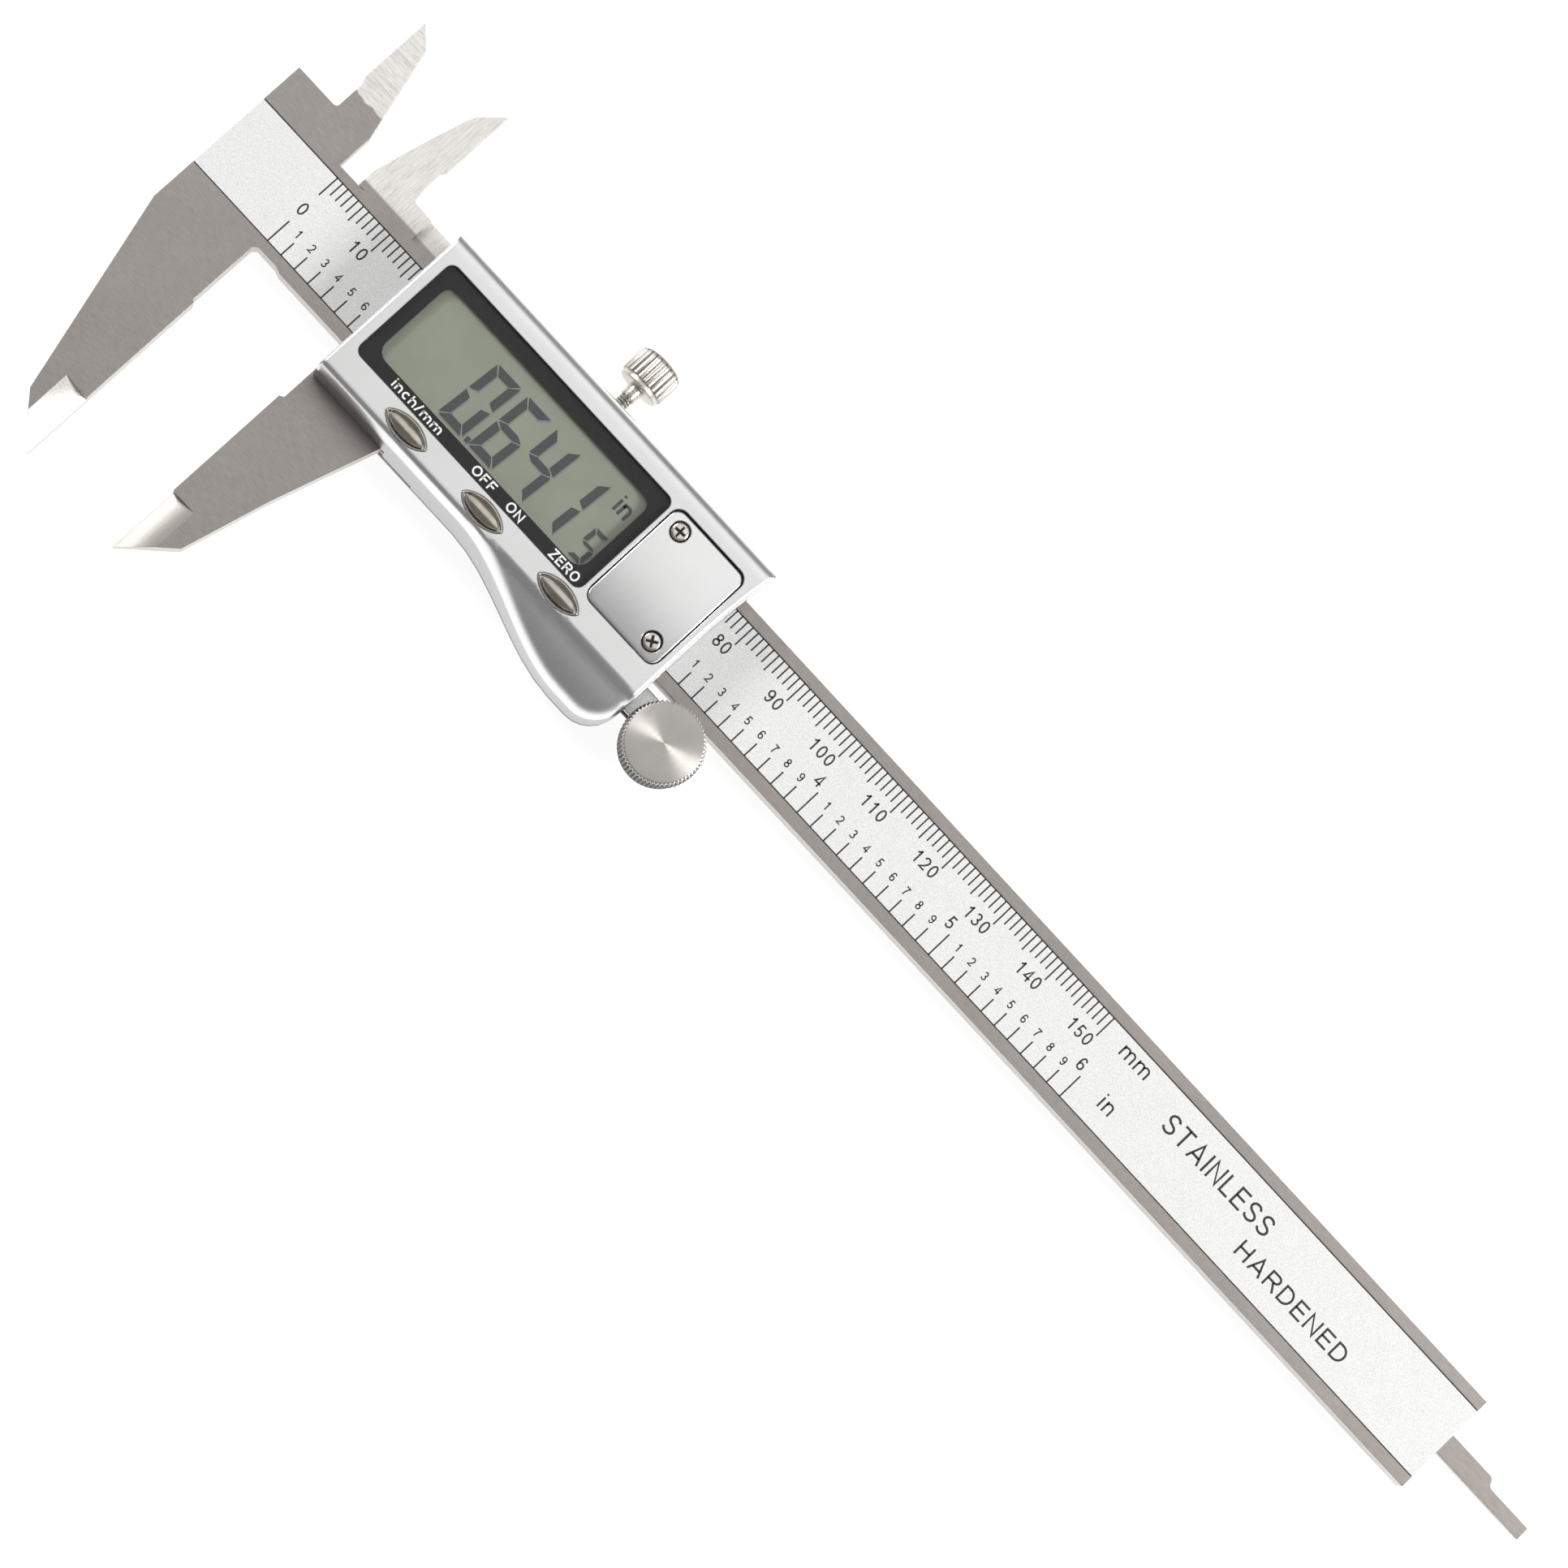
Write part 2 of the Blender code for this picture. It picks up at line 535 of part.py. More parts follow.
def make_button(name, parent):
    """A lens-shaped key: cap, wider flange that keeps it in, and a stem over its dome switch."""
    cap = plate(name, lens((0, 0), BUTTON_SIZE), 5.8, BUTTON_TOP_Z, "bright_nickel", parent)
    round_front_rim(cap, 0.3)
    flange = plate(f"{name}_flange", lens((0, 0), (7.6, 3.2)), 5.4, 6.1, None, parent)
    stem = rod(f"{name}_stem", 0.9, (0, 0, BUTTON_STEM_Z), (0, 0, 5.9), None, parent)
    cut(cap, flange, stem, operation="UNION")


def make_battery(slider):
    """Button cell in its cup, the two contacts, and the screwed cover."""
    x, y = CELL_CENTRE
    profile = [(0, CELL_TOP_Z), (5.5, CELL_TOP_Z), (CELL_RADIUS, 6.75), (CELL_RADIUS, 2.3), (5.1, 2.1),
               (5.1, CELL_LOW_Z), (0, CELL_LOW_Z)]
    turned("battery_cell", profile, "bright_nickel", slider, (x, y, 0), segments=32)
    cup = rod("battery_cup", 6.4, (x, y, 1.42), (x, y, 6.2), "black_plastic", slider, segments=32)
    cut(
        cup,
        rod("cup_bore", 6.0, (x, y, 0), (x, y, 9), None, slider, segments=32),
        box("cup_slot", (x - 8, -2.2, 0), (x - 4.5, 2.2, 9), None, slider),
    )
    box("battery_contact_negative", (x - 4, -1.5, 1.41), (x + 4, 1.5, 1.55), "brass", slider)
    box("battery_contact_positive", (x - 6.3, -1.7, 1.42), (x - 6.0, 1.7, 6.0), "brass", slider)
    cover = plate("battery_cover", rounded_rectangle(CELL_CENTRE, BATTERY_COVER_SIZE, 1.45), 7.12, FRONT_Z,
                  "satin_chrome", slider)
    round_front_rim(cover, 0.15)
    for name, (sx, sy) in BATTERY_SCREWS.items():
        cut(
            cover,
            rod(f"cover_seat_{name}", 1.4, (sx, sy, 7.5), (sx, sy, 9), None, slider),
            rod(f"cover_hole_{name}", 0.65, (sx, sy, 6), (sx, sy, 9), None, slider, segments=12),
        )
        cross_screw(f"battery_cover_screw_{name}", (sx, sy, 7.98), [(1.0, 0), (1.24, -0.15), (1.24, -0.42)],
                    0.5, 2.9, "bright_nickel", slider)


def make_back(slider):
    """Back cover, flush with the body's outline, and the screws that clamp the slider together."""
    cover = plate("back_cover", inset(housing_outline(), 0.1), COVER_LOW_Z, COVER_TOP_Z, "satin_chrome",
                  slider)
    for corner, (x, y, _) in BODY_SCREWS.items():
        cut(cover, rod(f"countersink_{corner}", 1.52, (x, y, COVER_LOW_Z - 0.05), (x, y, COVER_TOP_Z + 0.05),
                       None, slider, end_radius=0.8))
        cross_screw(f"back_cover_screw_{corner}", (x, y, COVER_LOW_Z + 0.02), [(1.35, 0), (1.35, -0.05)],
                    BODY_SCREW_RADIUS, 8.6, "galvanised_steel", slider, from_back=True)


def make_depth_rod(slider):
    """Flat rod in the beam's back groove, narrowed at its measuring end, and its pin."""
    tip = BEAM_RIGHT
    outline = [(ROD_LEFT, ROD_LOW_Y), (ROD_LEFT, ROD_HIGH_Y), (tip - 8.3, ROD_HIGH_Y), (tip - 7.9, 1.7),
               (tip - 7.7, 1.2), (tip - 7.3, 0.9), (tip - 6.8, 0.86), (tip, 0.86), (tip, ROD_LOW_Y)]
    bar = plate("depth_rod", outline, -3.3, -2.1, "ground_steel", slider)
    cut(bar, rod("depth_rod_hole", 0.8, (*ROD_PIN, -5), (*ROD_PIN, -1), None, slider))
    rod("depth_rod_pin", 0.72, (*ROD_PIN, WEB_LOW_Z + 0.05), (*ROD_PIN, -2.3), "turned_steel", slider)


def make_roller_mount(slider):
    """Bracket riveted to the frame, with the spring, axle and spacer of the thumb roller."""
    x, y = ROLLER_CENTRE
    outline = [(ROD_LEFT, -8.85), (64.5, -8.85)]
    for step in range(9):
        turn = math.radians(50 - 25 * step)
        outline.append((x + 3.0 * math.cos(turn), y + 3.0 * math.sin(turn)))
    outline += [(63.4, -13.1), (ROD_LEFT, -13.1)]
    bracket = plate("roller_bracket", outline, -4.6, -3.6, "galvanised_steel", slider)
    cut(
        bracket,
        rod("bracket_axle_hole", 1.28, (x, y, -6), (x, y, -3), None, slider),
        rod("bracket_rivet_hole", 0.8, (*RIVET, -6), (*RIVET, -3), None, slider),
    )
    rod("bracket_rivet", 0.72, (*RIVET, WEB_LOW_Z + 0.05), (*RIVET, -3.55), "turned_steel", slider)
    box("roller_spring", (50.5, -13.65, -4.5), (61.8, -13.25, -3.75), "turned_steel", slider)
    profile = [(0, 3.2), (1.0, 3.2), (1.2, 3.0), (1.2, -4.68), (1.9, -4.68), (1.9, -5.0), (1.6, -5.15),
               (0, -5.15)]
    turned("roller_axle", profile, "turned_steel", slider, (x, y, 0), segments=20)
    spacer = rod("roller_spacer", 2.7, (x, y, -3.5), (x, y, ROLLER_BACK_Z - 0.1), "brass", slider)
    cut(spacer, rod("spacer_bore", 1.28, (x, y, -5), (x, y, 0), None, slider))


def make_roller(parent):
    """Knurled wheel with a smooth hub that bears on the beam's lower edge."""
    hub = ROLLER_HUB_RADIUS
    rim = ROLLER_RADIUS
    sections = [(ROLLER_BACK_Z, hub - 0.2, 0), (ROLLER_BACK_Z + 0.2, hub, 0), (0.2, hub, 0),
                (0.3, rim - 0.25, 0), (0.5, rim, 0.2), (ROLLER_TOP_Z - 0.25, rim, 0.2),
                (ROLLER_TOP_Z, rim - 0.25, 0)]
    wheel = fluted("thumb_roller", 66, sections, "turned_steel", parent)
    cut(wheel, rod("roller_bore", 1.27, (0, 0, ROLLER_BACK_Z - 1), (0, 0, 3.5), None, parent))


def main():
    root = new_empty("datum", (0, -JAW_FACE_MID_Y, BEAM_THICK / 2))
    slider = new_empty("slider_axis", (OPENING, 0, 0), root)
    gib = new_empty("gib_axis", (0, 0, 0), slider)
    lock = new_empty("lock_screw_axis", (LOCK_X, 12.05, LOCK_Z), slider)
    roller = new_empty("roller_axis", (*ROLLER_CENTRE, 0), slider)
    make_beam(root)
    make_scale(root)
    make_end_stop(root)
    make_slider_frame(slider)
    make_gib(slider, gib, lock)
    make_housing(slider)
    make_display(slider)
    for name, x in BUTTON_XS.items():
        make_button(f"button_{name}", new_empty(f"button_{name}_axis", (x, BUTTON_Y, 0), slider))
    make_battery(slider)
    make_back(slider)
    make_depth_rod(slider)
    make_roller_mount(slider)
    make_roller(roller)


clear_scene()
parts = new_collection("digital_caliper")
cutters = new_collection("cutters")
materials = {name: new_material(name) for name in MATERIALS}
main()
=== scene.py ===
import math

import bmesh
import bpy
import numpy as np
from mathutils import Matrix, Vector
from mathutils.geometry import delaunay_2d_cdt


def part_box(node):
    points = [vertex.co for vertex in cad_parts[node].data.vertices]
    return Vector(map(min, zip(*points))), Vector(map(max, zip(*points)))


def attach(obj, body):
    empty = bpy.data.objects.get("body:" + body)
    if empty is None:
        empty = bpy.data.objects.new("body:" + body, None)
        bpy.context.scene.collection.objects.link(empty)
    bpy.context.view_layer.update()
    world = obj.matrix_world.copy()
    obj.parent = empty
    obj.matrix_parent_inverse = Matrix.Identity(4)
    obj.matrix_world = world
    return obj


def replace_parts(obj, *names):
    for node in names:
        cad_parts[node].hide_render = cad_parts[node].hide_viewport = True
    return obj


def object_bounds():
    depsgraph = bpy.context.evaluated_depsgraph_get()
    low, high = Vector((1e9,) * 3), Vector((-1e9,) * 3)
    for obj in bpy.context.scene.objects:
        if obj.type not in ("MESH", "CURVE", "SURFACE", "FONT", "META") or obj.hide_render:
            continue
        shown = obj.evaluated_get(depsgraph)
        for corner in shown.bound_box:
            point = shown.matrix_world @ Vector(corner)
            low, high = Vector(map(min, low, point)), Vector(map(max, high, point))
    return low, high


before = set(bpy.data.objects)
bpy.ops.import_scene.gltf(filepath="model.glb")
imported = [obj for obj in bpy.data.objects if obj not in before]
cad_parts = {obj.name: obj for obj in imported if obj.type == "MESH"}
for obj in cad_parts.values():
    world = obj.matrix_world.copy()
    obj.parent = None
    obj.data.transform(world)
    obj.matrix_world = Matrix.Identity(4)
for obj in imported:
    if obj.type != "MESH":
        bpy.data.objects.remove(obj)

cad_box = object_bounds()

# --------------------------------------------------
# The bench, the light and the camera. The caliper lies on its back on a sheet of white acrylic
# that is lit a little from below, under a room with one large soft window of light beyond the
# inside jaws and a bright horizon all round.
MM = 0.001


class Wire:
    """One output in a node tree. Arithmetic on it adds Math nodes."""

    def __init__(self, tree, socket=None):
        self.tree = tree
        self.socket = socket

    def node(self, kind, settings=None, inputs=None, output=0):
        made = self.tree.nodes.new(kind)
        for name, value in (settings or {}).items():
            setattr(made, name, value)
        for name, value in (inputs or {}).items():
            if isinstance(value, Wire):
                self.tree.links.new(value.socket, made.inputs[name])
            else:
                made.inputs[name].default_value = value
        return Wire(self.tree, made.outputs[output])

    def maths(self, operation, *values):
        return self.node("ShaderNodeMath", {"operation": operation}, dict(enumerate(values)))

    def __add__(self, other):
        return self.maths("ADD", self, other)

    def __sub__(self, other):
        return self.maths("SUBTRACT", self, other)

    def __rsub__(self, other):
        return self.maths("SUBTRACT", other, self)

    def __mul__(self, other):
        return self.maths("MULTIPLY", self, other)

    __radd__ = __add__
    __rmul__ = __mul__

    def __abs__(self):
        return self.maths("ABSOLUTE", self)

    def split(self):
        """The X, Y and Z of a vector."""
        outputs = self.node("ShaderNodeSeparateXYZ", {}, {0: self}).socket.node.outputs
        return [Wire(self.tree, output) for output in outputs]

    def step(self, low, high):
        """0 below low and 1 above high, with a soft edge between them."""
        return self.node("ShaderNodeMapRange", {"interpolation_type": "SMOOTHSTEP"},
                         {"Value": self, "From Min": low, "From Max": high})

    def noise(self, scale, stretch=(1, 1, 1), detail=3.0, roughness=0.6):
        """Noise over a position in metres, at a scale counted per millimetre."""
        stretch = [share / MM for share in stretch]
        spread = self.node("ShaderNodeMapping", {}, {"Vector": self, "Scale": stretch})
        settings = {"Vector": spread, "Scale": scale, "Detail": detail, "Roughness": roughness}
        return self.node("ShaderNodeTexNoise", {}, settings, "Fac")

    def distance(self, origin, axes=(1, 1, 1)):
        """How far a position is from a place along some of the axes, in millimetres."""
        offset = [-middle * axis * MM for middle, axis in zip(origin, axes)]
        moved = self.node("ShaderNodeMapping", {}, {"Vector": self, "Scale": axes, "Location": offset})
        return self.node("ShaderNodeVectorMath", {"operation": "LENGTH"}, {0: moved}, "Value") * (1 / MM)

    def blend(self, low, high):
        """A colour between two colours, with this value as the share of the second."""
        return self.node("ShaderNodeMix", {"data_type": "RGBA"}, {0: self, 6: low, 7: high}, 2)


BENCH_SIZE = 14.0
BENCH_GAP = 0.02
BENCH_GREY = (0.40, 0.40, 0.40, 1)
BENCH_GLOW = 0.86
ROOM_DARK = 0.22
WINDOW_LIGHT = 0.96
HORIZON_LIGHT = 0.29


def mesh_from(bm, name):
    mesh = bpy.data.meshes.new(name)
    bm.to_mesh(mesh)
    bm.free()
    return mesh


bm = bmesh.new()
bmesh.ops.create_grid(bm, x_segments=8, y_segments=8, size=BENCH_SIZE / 2)
bmesh.ops.translate(bm, verts=bm.verts, vec=(0.1, 0, cad_box[0].z - BENCH_GAP * MM))
bench_mesh = mesh_from(bm, "bench")
bench = bpy.data.objects.new("bench", bench_mesh)
bpy.context.scene.collection.objects.link(bench)
bench_finish = bpy.data.materials.new("white_acrylic")
bench_finish.use_nodes = True
bench_shader = bench_finish.node_tree.nodes["Principled BSDF"]
bench_shader.inputs["Base Color"].default_value = BENCH_GREY
bench_shader.inputs["Roughness"].default_value = 0.6
bench_shader.inputs["Emission Color"].default_value = (1, 1, 1, 1)
bench_shader.inputs["Emission Strength"].default_value = BENCH_GLOW
bench_mesh.materials.append(bench_finish)

room = bpy.data.worlds.new("room")
bpy.context.scene.world = room
room.use_nodes = True
across, away, above = Wire(room.node_tree).node("ShaderNodeTexCoord", output="Generated").split()
dimmer = abs(across).step(0.0, 0.22) * 0.42 + abs(across).step(0.5, 0.9) * 0.58
window = away.step(-0.07, 0.16) * (1 - away.step(0.62, 0.80)) * (1 - dimmer)
horizon = 1 - abs(above).step(0.03, 0.27)
brightness = ROOM_DARK + WINDOW_LIGHT * window * above.step(0.0, 0.3) + HORIZON_LIGHT * horizon
background = room.node_tree.nodes["Background"]
background.inputs["Color"].default_value = (1, 1, 1, 1)
room.node_tree.links.new(brightness.socket, background.inputs["Strength"])

SOFTBOX_SIZE = 0.5
LIT_PLACE = Vector((0.11, 0.03, 0.0))
SOFTBOXES = {"left_softbox": ((-1.1, 0.40, 0.95), 9.5), "right_softbox": ((1.25, 0.45, 0.95), 16.5)}
for name, (place, power) in SOFTBOXES.items():
    lamp = bpy.data.lights.new(name, "AREA")
    lamp.energy = power
    lamp.size = SOFTBOX_SIZE
    light = bpy.data.objects.new(name, lamp)
    light.location = place
    light.rotation_euler = (LIT_PLACE - Vector(place)).to_track_quat("-Z", "Y").to_euler()
    bpy.context.scene.collection.objects.link(light)

CAMERA_PLACE = (0.076266, -0.086390, 0.656402)
CAMERA_RIGHT = (0.6788923, 0.7201185, 0.1432990)
CAMERA_DOWN = (0.7335043, -0.6738941, -0.0885336)
CAMERA_AHEAD = (0.0328137, 0.1652152, -0.9857115)
FOCAL_LENGTH = 6248.663
FRAME_SIDE = 1932
SENSOR = 36.0

camera_data = bpy.data.cameras.new("camera")
camera_data.sensor_width = SENSOR
camera_data.lens = FOCAL_LENGTH / FRAME_SIDE * SENSOR
camera_data.clip_start = 0.05
camera_data.clip_end = 20.0
camera = bpy.data.objects.new("camera", camera_data)
axes = Matrix((CAMERA_RIGHT, -Vector(CAMERA_DOWN), -Vector(CAMERA_AHEAD))).transposed()
camera.matrix_world = Matrix.Translation(CAMERA_PLACE) @ axes.to_4x4()
bpy.context.scene.collection.objects.link(camera)
bpy.context.scene.camera = camera
bpy.context.scene.view_settings.view_transform = "Standard"

# --------------------------------------------------
# The rule with its fixed jaws, the slider's steel frame and the depth rod. They are hardened
# stainless steel, ground flat along their length, with the edges broken by a light stone. The
# knife faces of the jaws and the inside blades are ground again, with their own grain, and their
# colour is painted brighter: a painted highlight for the sheen of those faces. The upright sides
# are painted a lighter steel: a painted sheen.
RULE = Vector((0.0, 28.2, 1.75))        # beam's centre line and front face from the part's origin
SLIDER = RULE + Vector((16.28, 0, 0))   # the same point at the movable jaw's measuring face
STEEL = (0.48, 0.44, 0.415, 1)
STEEL_DARK = (0.35, 0.32, 0.30, 1)
# Reground faces: their own grain, painted brighter as a painted highlight for their sheen.
GROUND_SHEEN_LOW = (0.66, 0.635, 0.60, 1)
GROUND_SHEEN_HIGH = (0.90, 0.88, 0.85, 1)
# Upright faces: painted sheen, a lighter steel for the bright room they face.
STEEL_SIDE_SHEEN = (0.60, 0.58, 0.555, 1)
KNIFE_FROM = 37.45
KNIFE_WIDTH = 3.95
BLADE_FROM = 15.0
# The movable knife face takes only this share of the painted highlight.
KNIFE_SHEEN_SHARE = 0.12
WELD_GAP = 0.0005
FLAT_ANGLE = 0.3
SHARP_ANGLE = 28


def new_finish(name):
    """A material, its Principled shader and a wire with the surface's position in metres."""
    material = bpy.data.materials.new(name)
    material.use_nodes = True
    shader = material.node_tree.nodes["Principled BSDF"]
    return material, shader, Wire(material.node_tree).node("ShaderNodeTexCoord", output="Object")


def set_finish(shader, sockets):
    for name, value in sockets.items():
        if isinstance(value, Wire):
            value.tree.links.new(value.socket, shader.inputs[name])
        else:
            shader.inputs[name].default_value = value


def bump(height, strength, depth):
    """Surface relief, with its depth in millimetres."""
    return height.node("ShaderNodeBump", {}, {"Height": height, "Strength": strength, "Distance": depth * MM})


def coordinate(place, axis):
    """One coordinate of a position, in millimetres."""
    return place.split()["XYZ".index(axis)] * (1 / MM)


def facing_up(place):
    """1 where the surface faces straight up or down, and 0 where it is upright."""
    return abs(place.node("ShaderNodeNewGeometry", output="Normal").split()[2])


def new_piece(name, mesh, material, body):
    piece = bpy.data.objects.new(name, mesh)
    mesh.materials.clear()
    mesh.materials.append(material)
    bpy.context.scene.collection.objects.link(piece)
    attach(piece, body)
    return piece


def flat_shading(piece, weight=50):
    """Keeps a piece's flat faces flat right up to its rounded edges."""
    normals = piece.modifiers.new("flat_faces", "WEIGHTED_NORMAL")
    normals.keep_sharp = True
    normals.weight = weight


def eased(node, width, material, body, segments=2):
    """The same solid as a CAD node, with its edges broken."""
    bm = bmesh.new()
    bm.from_mesh(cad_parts[node].data)
    bmesh.ops.remove_doubles(bm, verts=bm.verts, dist=WELD_GAP * MM)
    bmesh.ops.dissolve_limit(bm, angle_limit=math.radians(FLAT_ANGLE), verts=bm.verts, edges=bm.edges)
    sharp = [edge for edge in bm.edges
             if edge.is_manifold and edge.calc_face_angle() > math.radians(SHARP_ANGLE)]
    bmesh.ops.bevel(bm, geom=sharp, offset=width * MM, segments=segments, profile=0.5, affect="EDGES",
                    clamp_overlap=True)
    mesh = mesh_from(bm, node + "_eased")
    mesh.shade_smooth()
    piece = new_piece(node + "_eased", mesh, material, body)
    flat_shading(piece)
    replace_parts(piece, node)


def steel_finish(name, along, sheen_mask, ground_along):
    """Ground stainless steel, with a mask for where it was ground again, painted brighter as a painted
    highlight.
    """
    material, shader, place = new_finish(name)
    lines = place.noise(12.0, along, 5.0, 0.75)
    cloud = place.noise(0.10, (1, 1, 1), 3.0)
    speck = place.noise(6.0, (1, 1, 1), 2.0)
    shade = (lines * 0.75 + cloud * 0.15 + speck * 0.1).step(0.34, 0.66)
    bright = sheen_mask(place)
    cross = place.noise(6.0, ground_along, 4.0, 0.8)
    plain = shade.blend(STEEL_DARK, STEEL)
    ground = cross.step(0.36, 0.60).blend(GROUND_SHEEN_LOW, GROUND_SHEEN_HIGH)
    # Upright faces are painted a lighter steel: painted sheen.
    colour = facing_up(place).step(0.30, 0.72).blend(STEEL_SIDE_SHEEN, bright.blend(plain, ground))
    set_finish(shader, {"Base Color": colour, "Metallic": 1 - bright * 0.45,
                        "Roughness": 0.30 + lines * 0.14 + speck * 0.05 + bright * 0.08,
                        "Normal": bump(lines * (1 - bright) + cross * bright * 1.8, 0.45, 0.014)})
    return material


def rule_ground(place):
    """The knife face of the fixed jaw and its inside blade, with the painted highlight."""
    y = coordinate(place, "Y") - RULE.y
    wave = place.noise(0.35, (1, 0, 0), 1.0)
    within = (coordinate(place, "X") + KNIFE_WIDTH).step(-0.05, 0.05)
    knife = (y * -1).step(KNIFE_FROM, KNIFE_FROM + 0.1) * within
    return knife + (y - wave * 1.6).step(BLADE_FROM, BLADE_FROM + 0.25)


def slider_ground(place):
    """The knife face of the movable jaw, with a small share of the painted highlight, and the whole of its
    inside blade.
    """
    y = coordinate(place, "Y") - RULE.y
    beyond = (coordinate(place, "X") - SLIDER.x - KNIFE_WIDTH).step(-0.05, 0.05)
    knife = (y * -1).step(KNIFE_FROM, KNIFE_FROM + 0.1) * (1 - beyond)
    return knife * KNIFE_SHEEN_SHARE + y.step(9.0, 9.4)


steel = steel_finish("ground_steel", (0.05, 1, 1), rule_ground, (0.08, 1, 1))
slider_steel = steel_finish("slider_steel", (0.05, 1, 1), slider_ground, (1, 0.05, 1))
eased("beam", 0.09, steel, "rule")
eased("slider_frame", 0.09, slider_steel, "slider")
eased("depth_rod", 0.07, steel, "slider")

# --------------------------------------------------
# The scale: a thin circuit strip glued in the rule's front channel, under an anodised silver
# label. The label is printed black with a tick for every millimetre along its upper edge, one for
# every tenth of an inch along its lower edge, their figures, and two plain words about the steel.
LABEL_SILVER = (0.93, 0.926, 0.92, 1)
LABEL_GREY = (0.73, 0.727, 0.72, 1)
PRINT_BLACK = (0.022, 0.021, 0.021, 1)
SCALE_ZERO = 0.33
MILLIMETRES = 150
INCH = 25.4
TICK_WIDTH = 0.21
BORDER_WIDTH = 0.09
MM_TICKS = {1: 2.33, 5: 2.87, 10: 3.38}     # length by how many millimetres it marks
TENTH_TICK = 2.35
INCH_TICK = 3.88
FIGURE_HEIGHT = 1.86
TENTH_HEIGHT = 1.26
PRINT_RISE = 0.012


def label_silver():
    material, shader, place = new_finish("label_silver")
    grain = place.noise(6.5, (1, 1, 1), 1.0, 0.9)
    patch = place.noise(0.35, (1, 1, 1), 2.0)
    colour = (grain * 0.95 + patch * 0.05).step(0.30, 0.66).blend(LABEL_GREY, LABEL_SILVER)
    set_finish(shader, {"Base Color": colour, "Metallic": 0.18, "Roughness": 0.46 + grain * 0.16,
                        "Normal": bump(grain, 0.3, 0.012)})
    return material


def print_ink(name, colour, worn=0.5):
    """Screen-printed ink, a little thin in places."""
    material, shader, place = new_finish(name)
    grain = place.noise(14.0, (1, 1, 1), 2.0)
    faded = [channel + (1 - channel) * 0.10 * worn for channel in colour[:3]] + [1]
    set_finish(shader, {"Base Color": grain.step(0.45, 0.75).blend(colour, faded),
                        "Roughness": 0.42 + grain * 0.2, "Normal": bump(grain, 0.2, 0.004)})
    return material


def vertex(bm, place, origin):
    return bm.verts.new((Vector(place) + origin) * MM)


def flat_shapes(name, shapes, height, origin, material, body):
    """Printed shapes as flat faces. Each shape is a list of (x, y) corners in millimetres."""
    bm = bmesh.new()
    for shape in shapes:
        bm.faces.new([vertex(bm, (x, y, height), origin) for x, y in shape])
    for face in bm.faces:
        face.normal_update()
        if face.normal.z < 0:
            face.normal_flip()
    new_piece(name, mesh_from(bm, name), material, body)


def oblong(x, y, width, height):
    return [(x, y), (x + width, y), (x + width, y + height), (x, y + height)]


def arc(x, y, wide, tall, start, end, steps=14):
    """Points along part of an ellipse, from one angle to another in degrees."""
    turns = [math.radians(start + (end - start) * step / steps) for step in range(steps + 1)]
    return [(x + wide * math.cos(turn), y + tall * math.sin(turn)) for turn in turns]


